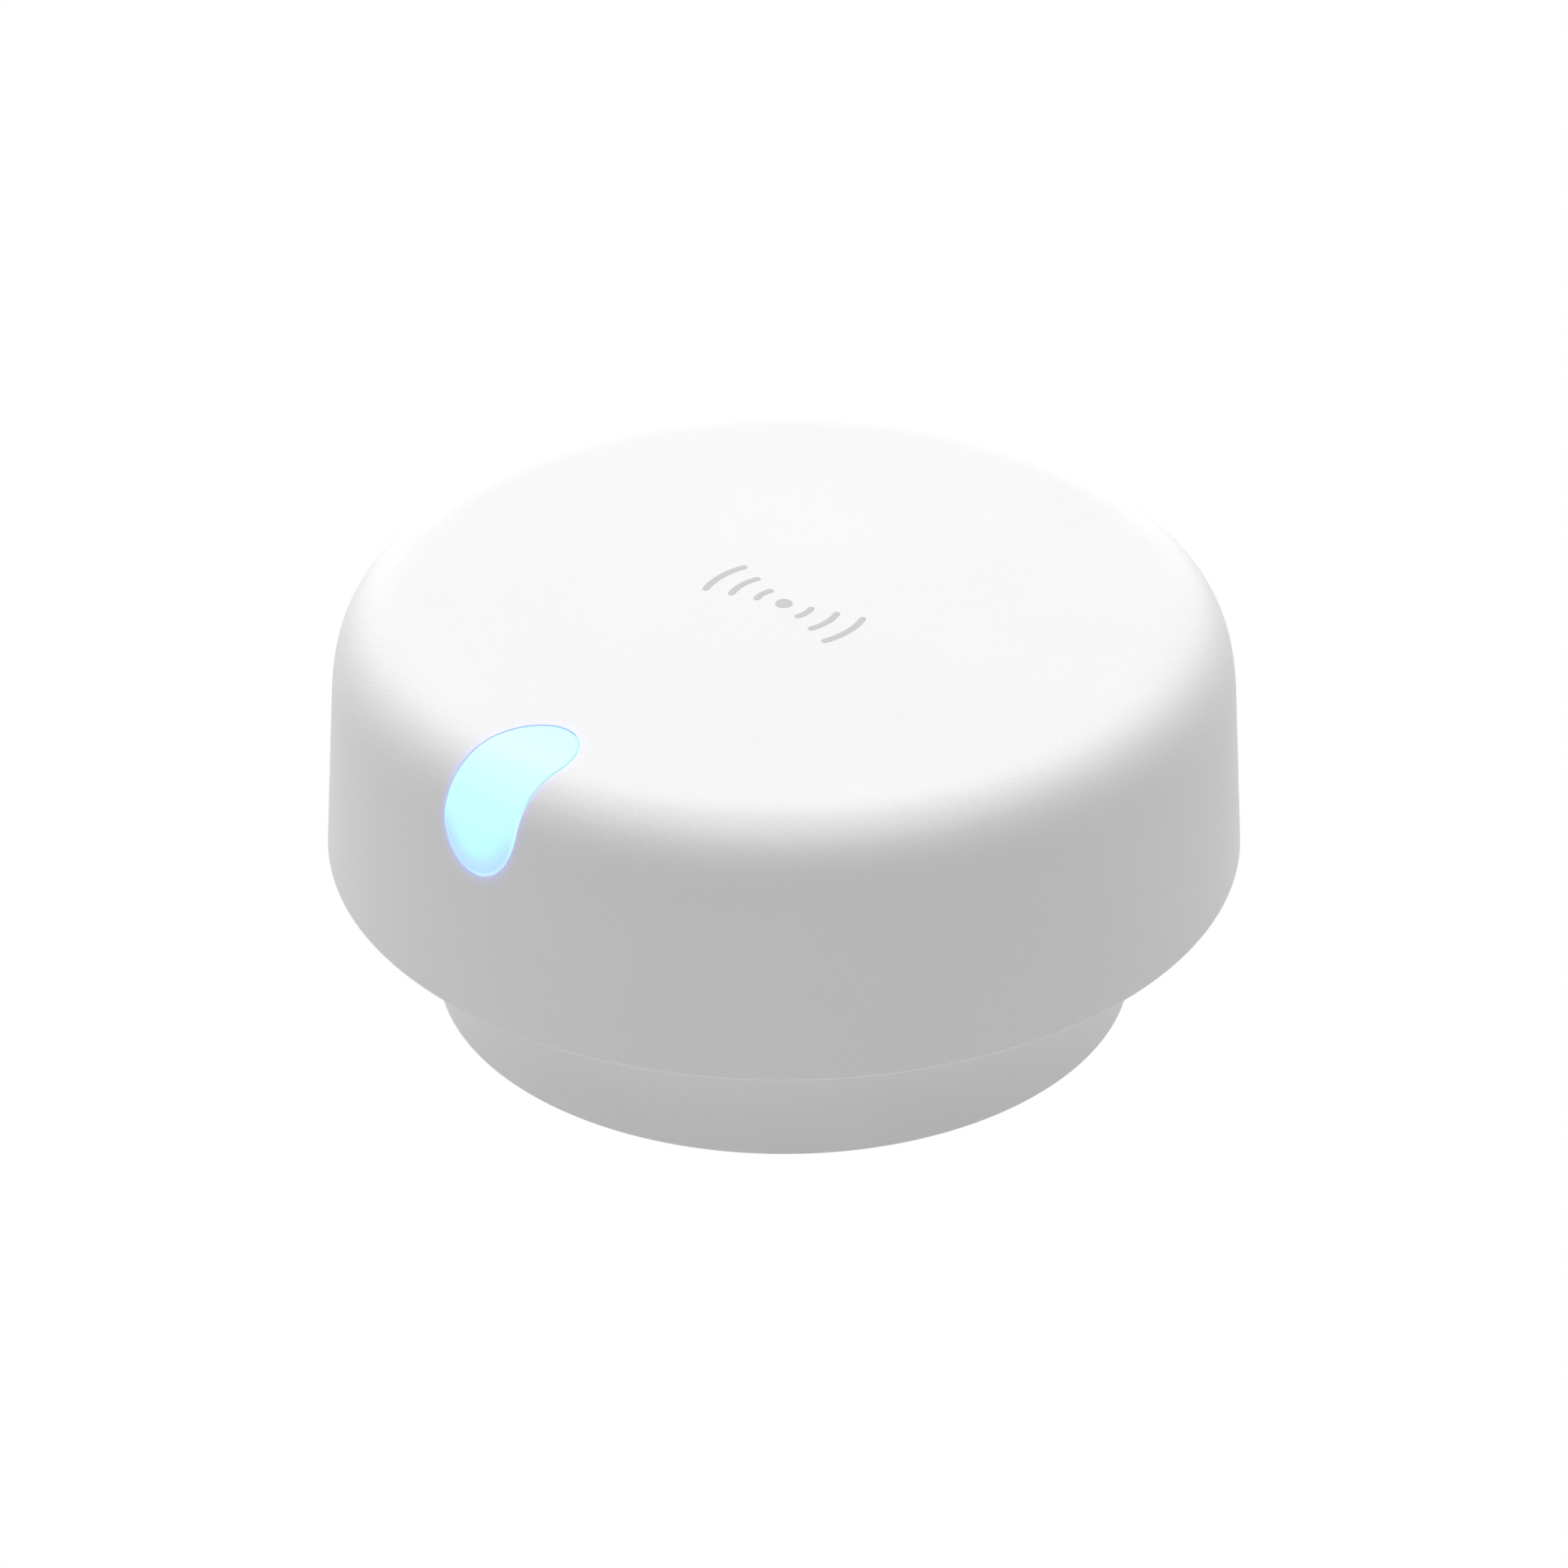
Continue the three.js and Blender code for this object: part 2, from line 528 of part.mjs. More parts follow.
function turntableAssembly() {
  const assembly = new THREE.Group();
  const seatZ = RETAINER_TOP_Z + SEAT_GAP / 2;
  assembly.add(turntable(), hingePin(), waveWasher(), retainingDisc());
  assembly.add(hingeWasher('hinge_washer_left', -1), hingeWasher('hinge_washer_right', 1));
  assembly.add(screwSet('retainer_screw', RETAINER_SCREW, RETAINER_SCREW_CIRCLE, seatZ, 1));
  return assembly;
}

// ---------- Head casings ----------

// A round-ended bar along X at the height of the inlet.
function inletBar(halfWidth, radius, lowX, highX) {
  const shape = new THREE.Shape();
  shape.absarc(halfWidth - radius, 0, radius, -Math.PI / 2, Math.PI / 2);
  shape.absarc(-halfWidth + radius, 0, radius, Math.PI / 2, (3 * Math.PI) / 2);
  const geometry = new THREE.ExtrudeGeometry(shape, {
    depth: highX - lowX,
    bevelEnabled: false,
    curveSegments: HEX_STEPS,
  });
  geometry.rotateX(Math.PI / 2).rotateZ(Math.PI / 2).translate(lowX, 0, INLET_MID_Z);
  return solid(geometry);
}

// The inlet's outline grown by an offset.
function inletForm(offset, lowX, highX) {
  return inletBar(INLET_WIDTH / 2 + offset, INLET_HEIGHT / 2 + offset, lowX, highX);
}

// The two cheeks inside the shell that the button's board slides between.
function buttonCheeks() {
  const inner = BUTTON_BOARD.width / 2 + SEAT_GAP + RUNNING_CLEARANCE;
  const outer = inner + CHEEK_WALL;
  const ledgeTop = -BUTTON_BOARD_DEPTH - BUTTON_BOARD.thickness - RUNNING_CLEARANCE;
  const ledgeZ = ledgeTop - CHEEK_LEDGE;
  const halfLength = BUTTON_BOARD.length / 2 - CHEEK_WALL;
  return [-1, 1].map((side) => {
    const [lowX, highX] = side < 0 ? [-outer, -inner] : [inner, outer];
    const [ledgeLow, ledgeHigh] = side < 0 ? [-outer, -inner + CHEEK_WALL] : [inner - CHEEK_WALL, outer];
    const cheek = buttonBlock([lowX, -halfLength, ledgeZ], [highX, halfLength, CUT_OVERRUN]);
    const ledge = buttonBlock([ledgeLow, -halfLength, ledgeZ], [ledgeHigh, halfLength, ledgeTop]);
    return join(cheek, ledge);
  });
}

function frontShell() {
  const outer = headForm(0, HEAD_BASE_Z);
  const hollow = headForm(HEAD_WALL, HEAD_BASE_Z - CUT_OVERRUN);
  const core = headForm(HEAD_WALL / 2, HEAD_BASE_Z);
  const bossZ = BACK_Z + BACK_THICKNESS + SEAT_GAP;
  const bosses = onCircle(HEAD_SCREW_CIRCLE).map(([x, y]) =>
    post(HEAD_BOSS_RADIUS, x, y, bossZ, bossZ + HEAD_BOSS_HEIGHT));
  const ribs = onCircle(HEAD_SCREW_CIRCLE).map(([x, y], k) => {
    const reach = HEAD_RADIUS - HEAD_SCREW_CIRCLE;
    const half = HEAD_BOSS_RADIUS / 2;
    const rib = block([0, -half, bossZ], [reach, half, bossZ + HEAD_BOSS_HEIGHT]);
    const turn = THREE.MathUtils.radToDeg(SCREW_START + k * THIRD);
    return rib.rotate([0, 0, turn]).translate([x, y, 0]).intersect(core);
  });
  const pilots = screwHoles(HEAD_SCREW.shank + SCREW_CLEARANCE, HEAD_SCREW_CIRCLE,
    BACK_Z, bossZ + HEAD_SCREW.length);
  const cheeks = buttonCheeks().map((cheek) => cheek.intersect(core));
  const windowDepth = BUTTON_FLOOR_DEPTH + BUTTON_TRAVEL + RUNNING_CLEARANCE;
  const window = stadiumPrism(BUTTON_HALF_WIDTH + BUTTON_CLEARANCE, BUTTON_LENGTH + 2 * BUTTON_CLEARANCE,
    -windowDepth, 2 * CUT_OVERRUN);
  const port = inletForm(PORT_CLEARANCE, INLET_MOUTH_X - INLET_DEPTH, HEAD_RADIUS + CUT_OVERRUN);
  const shell = cut(join(cut(outer, hollow), ...bosses, ...ribs, ...cheeks), window, port, ...pilots);
  return piece('front_shell', shell, whiteShell());
}

function backCover() {
  const outer = HEAD_RADIUS - HEAD_WALL - SEAT_GAP - RUNNING_CLEARANCE / 2;
  const body = revolve([
    [HUB_RADIUS + RUNNING_CLEARANCE, CEILING_Z],
    [RECESS_RADIUS, CEILING_Z],
    [RECESS_RADIUS, BACK_Z],
    [outer, BACK_Z],
    [outer, BACK_Z + BACK_THICKNESS],
    [RECESS_RADIUS + RECESS_WALL, BACK_Z + BACK_THICKNESS],
    [RECESS_RADIUS + RECESS_WALL, CEILING_TOP_Z],
    [HUB_RADIUS + RUNNING_CLEARANCE, CEILING_TOP_Z],
    [HUB_RADIUS + RUNNING_CLEARANCE, CEILING_Z],
  ]);
  const posts = onCircle(BOARD_POST_CIRCLE).map(([x, y]) =>
    post(BOARD_POST_RADIUS, x, y, CEILING_TOP_Z - BACK_THICKNESS / 2, BOARD_Z - SEAT_GAP));
  const pilots = screwHoles(BOARD_SCREW.shank + SCREW_CLEARANCE, BOARD_POST_CIRCLE,
    BOARD_TOP_Z - BOARD_SCREW.length - SEAT_GAP, BOARD_TOP_Z);
  const holes = screwHoles(HEAD_SCREW.shank + SCREW_CLEARANCE, HEAD_SCREW_CIRCLE, 0, TOTAL_HEIGHT);
  const sinks = screwHoles(HEAD_SCREW.head + COUNTERBORE_CLEARANCE, HEAD_SCREW_CIRCLE,
    0, BACK_Z + HEAD_SCREW.headHeight + SEAT_GAP);
  return piece('back_cover', cut(join(body, ...posts), ...pilots, ...holes, ...sinks), whiteShell());
}

// ---------- Boards ----------

function mainBoard() {
  const tab = block([0, -BOARD_TAB_HALF_WIDTH, BOARD_Z],
    [HEAD_RADIUS - HEAD_WALL - BOARD_TAB_MARGIN, BOARD_TAB_HALF_WIDTH, BOARD_TOP_Z]);
  const blank = join(disc(BOARD_RADIUS, BOARD_Z, BOARD_TOP_Z), tab);
  const holes = screwHoles(BOARD_SCREW.shank + SCREW_CLEARANCE, BOARD_POST_CIRCLE,
    BOARD_Z - CUT_OVERRUN, BOARD_TOP_Z + CUT_OVERRUN);
  return piece('main_board', cut(blank, ...holes), greenBoard());
}

function inletSocket() {
  const backX = INLET_MOUTH_X - INLET_DEPTH;
  const can = inletForm(0, backX, INLET_MOUTH_X);
  const mouth = inletForm(-INLET_WALL, backX + INLET_BACK_WALL, INLET_MOUTH_X + CUT_OVERRUN);
  const { width, height, setback } = INLET_TONGUE;
  const tongue = block(
    [backX + INLET_BACK_WALL / 2, -width / 2, INLET_MID_Z - height / 2],
    [INLET_MOUTH_X - setback, width / 2, INLET_MID_Z + height / 2],
  );
  return piece('usb_c_inlet', join(cut(can, mouth), tongue), steel());
}

function radarBoard() {
  const { width, depth, thickness, centreY } = RADAR_BOARD;
  return piece('radar_board', slab(width, depth, thickness, 0, centreY, RADAR_Z), greenBoard());
}

function radarChip() {
  const { size, thickness } = RADAR_CHIP;
  return piece('radar_chip', slab(size, size, thickness, 0, SPREADER.centreY, CHIP_Z), blackPlastic());
}

function thermalPad() {
  const { size, thickness } = THERMAL_PAD;
  return piece('thermal_pad', slab(size, size, thickness, 0, SPREADER.centreY, THERMAL_Z), thermalGel());
}

// A bridge whose two legs stand on the main board.
function heatSpreader() {
  const { width, depth, plate, leg, centreY } = SPREADER;
  const topZ = THERMAL_Z - SEAT_GAP;
  const whole = slab(width, depth, topZ - PART_Z, 0, centreY, PART_Z);
  const archHeight = topZ - plate - PART_Z + CUT_OVERRUN;
  const arch = slab(width - 2 * leg, depth + CUT_OVERRUN, archHeight, 0, centreY, PART_Z - CUT_OVERRUN);
  return piece('heat_spreader', cut(whole, arch), aluminium());
}

function radarStandoffs() {
  const standoffs = new THREE.Group();
  const reachX = RADAR_BOARD.width / 2 - STANDOFF_INSET;
  const reachY = RADAR_BOARD.depth / 2 - STANDOFF_INSET;
  [[1, 1], [-1, 1], [-1, -1], [1, -1]].forEach(([sideX, sideY], k) => {
    const [x, y] = [sideX * reachX, RADAR_BOARD.centreY + sideY * reachY];
    const body = post(STANDOFF_RADIUS, x, y, PART_Z, RADAR_Z - SEAT_GAP, HEX_STEPS);
    standoffs.add(piece(`radar_standoff_${k + 1}`, body, nylon()));
  });
  return standoffs;
}

function linkConnector() {
  const { width, depth, centreY } = LINK_CONNECTOR;
  const height = RADAR_Z - SEAT_GAP - PART_Z;
  return piece('link_connector', slab(width, depth, height, 0, centreY, PART_Z), blackPlastic());
}

function radioModule() {
  const { width, depth, height, centreX, centreY } = RADIO_MODULE;
  return piece('radio_module', slab(width, depth, height, centreX, centreY, PART_Z), steel());
}

function powerInductor() {
  const { radius, height, centreX, centreY } = INDUCTOR;
  return piece('power_inductor', post(radius, centreX, centreY, PART_Z, PART_Z + height), blackPlastic());
}

// ---------- Button and its board ----------

// The body moved inwards along the button's axis.
function pushedIn(body, distance) {
  return body.translate([0, -Math.cos(BUTTON_ELEVATION) * distance, -Math.sin(BUTTON_ELEVATION) * distance]);
}

function crescentButton() {
  const flangeOuter = HEAD_WALL + RUNNING_CLEARANCE;
  const faceDepth = flangeOuter / Math.cos(BUTTON_ELEVATION) + BUTTON_FLANGE_THICKNESS / 2;
  const surface = headForm(0, HEAD_BASE_Z);
  const inside = headForm(flangeOuter, HEAD_BASE_Z);
  const skin = cut(surface, pushedIn(surface, faceDepth));
  const lining = cut(inside, pushedIn(inside, BUTTON_FLANGE_THICKNESS));
  const face = stadiumPrism(BUTTON_HALF_WIDTH, BUTTON_LENGTH, -BUTTON_FLOOR_DEPTH, 2 * CUT_OVERRUN);
  const flange = stadiumPrism(BUTTON_HALF_WIDTH + BUTTON_FLANGE, BUTTON_LENGTH + 2 * BUTTON_FLANGE,
    -BUTTON_FLOOR_DEPTH, 2 * CUT_OVERRUN);
  const rodTop = -HEAD_WALL / 2;
  const rodLength = BUTTON_STEM_DEPTH + rodTop;
  const rod = new THREE.CylinderGeometry(BUTTON_STEM_RADIUS, BUTTON_STEM_RADIUS, rodLength, SCREW_STEPS);
  rod.rotateX(Math.PI / 2).translate(0, 0, rodTop - rodLength / 2).applyMatrix4(BUTTON_MATRIX);
  const body = join(face.intersect(skin), flange.intersect(lining), solid(rod));
  return piece('crescent_button', body, lightGuide());
}

function buttonBoard() {
  const { width, length, thickness } = BUTTON_BOARD;
  const baseZ = -BUTTON_BOARD_DEPTH - thickness;
  return piece('button_board', slab(width, length, thickness, 0, 0, baseZ), greenBoard());
}

// The switch is a cup with a bore that its plunger runs in.
function tactileSwitch() {
  const { size, height, plungerRadius, floor } = SWITCH;
  const baseZ = -BUTTON_BOARD_DEPTH + SEAT_GAP;
  const boreRadius = plungerRadius + SCREW_CLEARANCE;
  const bore = post(boreRadius, 0, 0, baseZ + floor, baseZ + height + CUT_OVERRUN, SCREW_STEPS);
  return piece('tactile_switch', cut(slab(size, size, height, 0, 0, baseZ), bore), blackPlastic());
}

function switchPlunger() {
  const topZ = -BUTTON_STEM_DEPTH - SEAT_GAP;
  const body = post(SWITCH.plungerRadius, 0, 0, topZ - SWITCH.plungerLength, topZ, SCREW_STEPS);
  return piece('switch_plunger', body, nylon());
}

function lamp(name, side) {
  const baseZ = -BUTTON_BOARD_DEPTH + SEAT_GAP;
  return piece(name, slab(LAMP.size, LAMP.size, LAMP.height, 0, side * LAMP.offset, baseZ), ledLens());
}

function lightSensor() {
  const { size, height, offset } = LIGHT_SENSOR;
  const baseZ = -BUTTON_BOARD_DEPTH + SEAT_GAP;
  return piece('light_sensor', slab(size, size, height, offset, 0, baseZ), blackPlastic());
}

// A ribbon that leaves the button's board square to it, bends down and lands on the main board.
function flexCable() {
  const outward = new THREE.Vector2(Math.cos(BUTTON_ELEVATION), Math.sin(BUTTON_ELEVATION));
  const depth = BUTTON_BOARD_DEPTH + BUTTON_BOARD.thickness + RUNNING_CLEARANCE;
  const start = new THREE.Vector2(BUTTON_PLACE.y, BUTTON_PLACE.z).addScaledVector(outward, -depth);
  const landZ = PART_Z + FLEX.thickness;
  const bend = new THREE.Vector2(start.x - (start.y - landZ), landZ);
  const end = new THREE.Vector2(bend.x - FLEX.landing, landZ);
  const path = new THREE.QuadraticBezierCurve(start, bend, end);
  const [over, under] = [[], []];
  for (let i = 0; i <= CORNER_STEPS; i += 1) {
    const middle = path.getPoint(i / CORNER_STEPS);
    const along = path.getTangent(i / CORNER_STEPS);
    const side = new THREE.Vector2(-along.y, along.x).multiplyScalar(FLEX.thickness / 2);
    over.push(middle.clone().add(side));
    under.unshift(middle.clone().sub(side));
  }
  const geometry = new THREE.ExtrudeGeometry(new THREE.Shape([...over, ...under]), {
    depth: FLEX.width,
    bevelEnabled: false,
  });
  geometry.rotateX(Math.PI / 2).rotateZ(Math.PI / 2).translate(-FLEX.width / 2, 0, 0);
  return piece('button_flex_cable', solid(geometry), amberFilm());
}

function buttonBoardAssembly() {
  const assembly = new THREE.Group();
  assembly.position.copy(BUTTON_PLACE);
  assembly.rotation.x = BUTTON_TURN;
  assembly.add(buttonBoard(), tactileSwitch(), switchPlunger(), lightSensor());
  assembly.add(lamp('button_led_lower', 1), lamp('button_led_upper', -1));
  return assembly;
}

function headAssembly() {
  const head = new THREE.Group();
  const headSeatZ = BACK_Z + HEAD_SCREW.headHeight + SEAT_GAP / 2;
  head.add(frontShell(), crescentButton(), backCover(), buttonBoardAssembly(), flexCable());
  head.add(mainBoard(), inletSocket(), radioModule(), powerInductor(), linkConnector());
  head.add(radarBoard(), radarChip(), thermalPad(), heatSpreader(), radarStandoffs());
  head.add(screwSet('head_screw', HEAD_SCREW, HEAD_SCREW_CIRCLE, headSeatZ, -1));
  head.add(screwSet('board_screw', BOARD_SCREW, BOARD_POST_CIRCLE, BOARD_TOP_Z + SEAT_GAP / 2, 1));
  return head;
}

const sensor = new THREE.Group();
sensor.add(standAssembly(), turntableAssembly(), headAssembly());

export default sensor;
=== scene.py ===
# Room presence sensor: a low round white head that tilts and swivels on a short round stand.
# Sizes here are in millimetres; MM turns them into the frame's metres as each mesh is made.

import math

import bmesh
import bpy
import numpy as np
from mathutils import Matrix, Vector


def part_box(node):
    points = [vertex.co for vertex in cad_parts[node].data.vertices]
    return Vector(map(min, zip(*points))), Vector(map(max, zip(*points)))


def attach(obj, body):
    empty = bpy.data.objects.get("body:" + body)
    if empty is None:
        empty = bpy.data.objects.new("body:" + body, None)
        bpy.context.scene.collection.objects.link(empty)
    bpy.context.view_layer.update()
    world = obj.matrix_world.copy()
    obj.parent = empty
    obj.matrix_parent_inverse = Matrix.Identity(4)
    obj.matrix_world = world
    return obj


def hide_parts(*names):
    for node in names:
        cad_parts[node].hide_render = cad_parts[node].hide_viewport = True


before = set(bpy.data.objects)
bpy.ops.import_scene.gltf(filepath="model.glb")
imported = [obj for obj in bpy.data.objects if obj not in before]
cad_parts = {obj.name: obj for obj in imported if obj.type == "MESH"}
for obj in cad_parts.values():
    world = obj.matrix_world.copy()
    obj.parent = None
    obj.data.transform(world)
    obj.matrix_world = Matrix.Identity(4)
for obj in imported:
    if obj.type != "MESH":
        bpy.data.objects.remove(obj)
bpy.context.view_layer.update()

# ======== Stand shell ========
# Short round cup of white ABS, injection moulded and open below. The centre knuckle of the tilt
# hinge is moulded in a notch in its rim.

MM = 0.001


def box_mm(node):
    """The lowest and highest corners of a CAD node, in millimetres."""
    low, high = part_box(node)
    return low / MM, high / MM


def rounded(corners, steps=4):
    """The outline in which each corner (radius, height, round) has become an arc of that round."""
    outline = []
    for k, (radius, height, round_size) in enumerate(corners):
        here = Vector((radius, height))
        if round_size == 0:
            outline.append(here)
            continue
        before = (Vector(corners[k - 1][:2]) - here).normalized()
        after = (Vector(corners[(k + 1) % len(corners)][:2]) - here).normalized()
        half = before.angle(after) / 2
        centre = here + (before + after).normalized() * round_size / math.sin(half)
        start = here + before * round_size / math.tan(half) - centre
        end = here + after * round_size / math.tan(half) - centre
        turn = math.pi - 2 * half
        for step in range(steps + 1):
            share = step / steps
            arm = start * math.sin((1 - share) * turn) + end * math.sin(share * turn)
            outline.append(centre + arm / math.sin(turn))
    return outline


def piece_from(name, points, faces):
    """A piece from points in millimetres, its faces turned outwards."""
    mesh = bpy.data.meshes.new(name)
    mesh.from_pydata([Vector(point) * MM for point in points], [], faces)
    shape = bmesh.new()
    shape.from_mesh(mesh)
    bmesh.ops.remove_doubles(shape, verts=shape.verts, dist=1e-7)
    bmesh.ops.recalc_face_normals(shape, faces=shape.faces)
    shape.to_mesh(mesh)
    shape.free()
    piece = bpy.data.objects.new(name, mesh)
    bpy.context.scene.collection.objects.link(piece)
    return piece


def turned(name, outline, steps=192):
    """A solid turned round Z from an outline of (radius, height) that closes on itself or on the axis."""
    points = []
    rows = []
    for radius, height in outline:
        if radius < 1e-9:
            rows.append([len(points)] * steps)
            points.append((0, 0, height))
            continue
        rows.append(list(range(len(points), len(points) + steps)))
        for k in range(steps):
            angle = 2 * math.pi * k / steps
            points.append((radius * math.cos(angle), radius * math.sin(angle), height))
    faces = []
    for row, upper in zip(rows, rows[1:] + rows[:1]):
        for k in range(steps):
            n = (k + 1) % steps
            corners = list(dict.fromkeys((row[k], row[n], upper[n], upper[k])))
            if len(corners) > 2:
                faces.append(corners)
    return piece_from(name, points, faces)


def block(low, high):
    """A rectangular solid between two corners, used to cut or join."""
    corners = [(x, y, z) for x in (low[0], high[0]) for y in (low[1], high[1]) for z in (low[2], high[2])]
    faces = [(0, 1, 3, 2), (4, 6, 7, 5), (0, 4, 5, 1), (2, 3, 7, 6), (0, 2, 6, 4), (1, 5, 7, 3)]
    return piece_from("block", corners, faces)


def moved(piece, matrix):
    """The piece with its mesh moved by a matrix that is given in millimetres."""
    placed = matrix.copy()
    placed.translation = matrix.translation * MM
    piece.data.transform(placed)
    return piece


def post(radius, x, y, low, high, steps=48, edge=0.0):
    """A round solid along Z."""
    outline = rounded([(0, low, 0), (radius, low, edge), (radius, high, edge), (0, high, 0)])
    return moved(turned("post", outline, steps), Matrix.Translation((x, y, 0)))


def bar(radius, low, high, y, z, steps=64, edge=0.0):
    """A round solid along X at y, z."""
    along = Matrix.Translation((0, y, z)) @ Matrix.Rotation(math.pi / 2, 4, "Y")
    return moved(post(radius, 0, 0, low, high, steps, edge), along)


def settled(piece):
    """The piece with its modifiers applied to its mesh."""
    bpy.context.view_layer.update()
    evaluated = piece.evaluated_get(bpy.context.evaluated_depsgraph_get())
    mesh = bpy.data.meshes.new_from_object(evaluated)
    piece.modifiers.clear()
    piece.data = mesh
    return piece


def machined(piece, *tools, operation="DIFFERENCE"):
    """The piece with the tools cut out of it, or joined to it; the tools are used up."""
    for tool in tools:
        modifier = piece.modifiers.new("machined", "BOOLEAN")
        modifier.operation = operation
        modifier.solver = "MANIFOLD"
        modifier.object = tool
    settled(piece)
    for tool in tools:
        bpy.data.objects.remove(tool)
    return piece


def eased(piece, width, segments=2, angle=35):
    """The piece with its sharp edges broken by a small round."""
    modifier = piece.modifiers.new("eased", "BEVEL")
    modifier.width = width * MM
    modifier.segments = segments
    modifier.limit_method = "ANGLE"
    modifier.angle_limit = math.radians(angle)
    modifier.miter_outer = "MITER_ARC"
    return settled(piece)


def shaded(piece, angle=32, flat_wins=True):
    """Smooth faces with crisp edges where the surface turns sharply; large flats stay flat."""
    piece.data.shade_smooth()
    piece.data.set_sharp_from_angle(angle=math.radians(angle))
    if flat_wins:
        modifier = piece.modifiers.new("weighted", "WEIGHTED_NORMAL")
        modifier.keep_sharp = True
        settled(piece)
    return piece


def fitted(piece, material, body, slot, *nodes):
    """The finished piece, in its material, riding on its body in place of its CAD nodes."""
    piece.data.materials.clear()
    piece.data.materials.append(material)
    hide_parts(*nodes)
    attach(piece, body)
    return piece


class Graph:
    """Short calls for adding to a tree of nodes, of a material or of a shape."""

    def add(self, kind, inputs=None, **settings):
        """A node with its settings; an input is a value or another node's socket."""
        node = self.tree.nodes.new(kind)
        for key, value in settings.items():
            setattr(node, key, value)
        for key, value in (inputs or {}).items():
            self.feed(node.inputs[key], value)
        return node

    def feed(self, socket, value):
        if isinstance(value, bpy.types.NodeSocket):
            self.tree.links.new(value, socket)
        else:
            socket.default_value = value

    def math(self, operation, *values):
        return self.add("ShaderNodeMath", dict(enumerate(values)), operation=operation).outputs[0]


class Nodes(Graph):
    """A material, with short calls for the nodes that plastics and metals share."""

    def __init__(self, name):
        self.material = bpy.data.materials.new(name)
        self.material.use_nodes = True
        self.tree = self.material.node_tree
        self.shader = self.tree.nodes["Principled BSDF"]
        self.place = self.add("ShaderNodeTexCoord").outputs["Object"]

    def noise(self, size, detail=2.0, roughness=0.5, place=None):
        """Cloudy noise whose lumps are about size millimetres across."""
        return self.add("ShaderNodeTexNoise", {
            "Vector": place or self.place, "Scale": 1 / (size * MM), "Detail": detail, "Roughness": roughness,
        }).outputs["Fac"]

    def cells(self, size, feature="F1"):
        """Distance within small cells about size millimetres across."""
        inputs = {"Vector": self.place, "Scale": 1 / (size * MM)}
        return self.add("ShaderNodeTexVoronoi", inputs, feature=feature).outputs["Distance"]

    def spread(self, value, low, high, from_low=0.0, from_high=1.0, smooth=False):
        inputs = {"Value": value, "From Min": from_low, "From Max": from_high, "To Min": low, "To Max": high}
        kind = "SMOOTHSTEP" if smooth else "LINEAR"
        return self.add("ShaderNodeMapRange", inputs, interpolation_type=kind).outputs["Result"]

    def tinted(self, share, first, second):
        """A colour between two, by share."""
        node = self.add("ShaderNodeMix", data_type="RGBA")
        self.feed(node.inputs[0], share)
        self.feed(node.inputs[6], (*first, 1))
        self.feed(node.inputs[7], (*second, 1))
        return node.outputs[2]

    def bumped(self, height, depth, normal=None):
        """The surface raised by height times depth millimetres."""
        inputs = {"Height": height, "Distance": depth * MM}
        if normal:
            inputs["Normal"] = normal
        return self.add("ShaderNodeBump", inputs).outputs["Normal"]

    def done(self, **inputs):
        """Sets the shader's sockets; an underscore in a name stands for a space."""
        for key, value in inputs.items():
            self.feed(self.shader.inputs[key.replace("_", " ")], value)
        return self.material


def grained(nodes, grain, depth):
    """The fine leathery grain that spark erosion leaves in a mould: its lumps, and the surface's bump."""
    lumps = nodes.noise(grain, detail=3.0, roughness=0.7)
    pits = nodes.spread(nodes.cells(grain * 0.8, "SMOOTH_F1"), 0.0, 1.0, 0.1, 0.7)
    height = nodes.math("ADD", nodes.math("MULTIPLY", lumps, 0.7), nodes.math("MULTIPLY", pits, 0.3))
    return lumps, nodes.bumped(height, depth)


def moulded(nodes, light, dark, grain=0.34, depth=0.027, roughness=(0.46, 0.56)):
    """Moulded plastic in a faintly clouded colour; returns its material."""
    lumps, bump = grained(nodes, grain, depth)
    cloud = nodes.noise(9.0, detail=2.0)
    return nodes.done(
        Base_Color=nodes.tinted(nodes.spread(cloud, 0.0, 1.0, 0.3, 0.7), dark, light),
        Roughness=nodes.spread(lumps, *roughness, 0.3, 0.7),
        Normal=bump,
        IOR=1.5,
    )


stand_low, stand_high = box_mm("stand_shell")
stand_radius = stand_high.x
stand_top = stand_high.z
stand_wall = 1.6
stand_roof = stand_top - stand_wall
knuckle_radius = 2.1
hinge_inset = 0.4
hinge_y = -(stand_radius - hinge_inset)
hinge_z = stand_top - knuckle_radius
barrel_half = box_mm("hinge_pin")[1].x
running_clearance = 0.3
notch_half = barrel_half + running_clearance
notch_inner = -20.75
notch_floor = hinge_z - knuckle_radius - running_clearance
notch_wall = 1.3
notch_corner = 0.6
centre_half = 4.2
pin_radius = 1.0
pin_clearance = 0.08
stand_screw_circle = 15.5
stand_screw = {"head": 1.9, "height": 1.0, "shank": 1.0, "length": 6.0}
boss_radius = 2.4
plate_top = box_mm("stand_bottom_plate")[1].z
seat_gap = 0.1
screw_clearance = 0.1
screw_turns = [math.radians(30 + 120 * k) for k in range(3)]


def screw_places(circle):
    """The three evenly spaced places on a screw circle."""
    return [(circle * math.cos(turn), circle * math.sin(turn)) for turn in screw_turns]


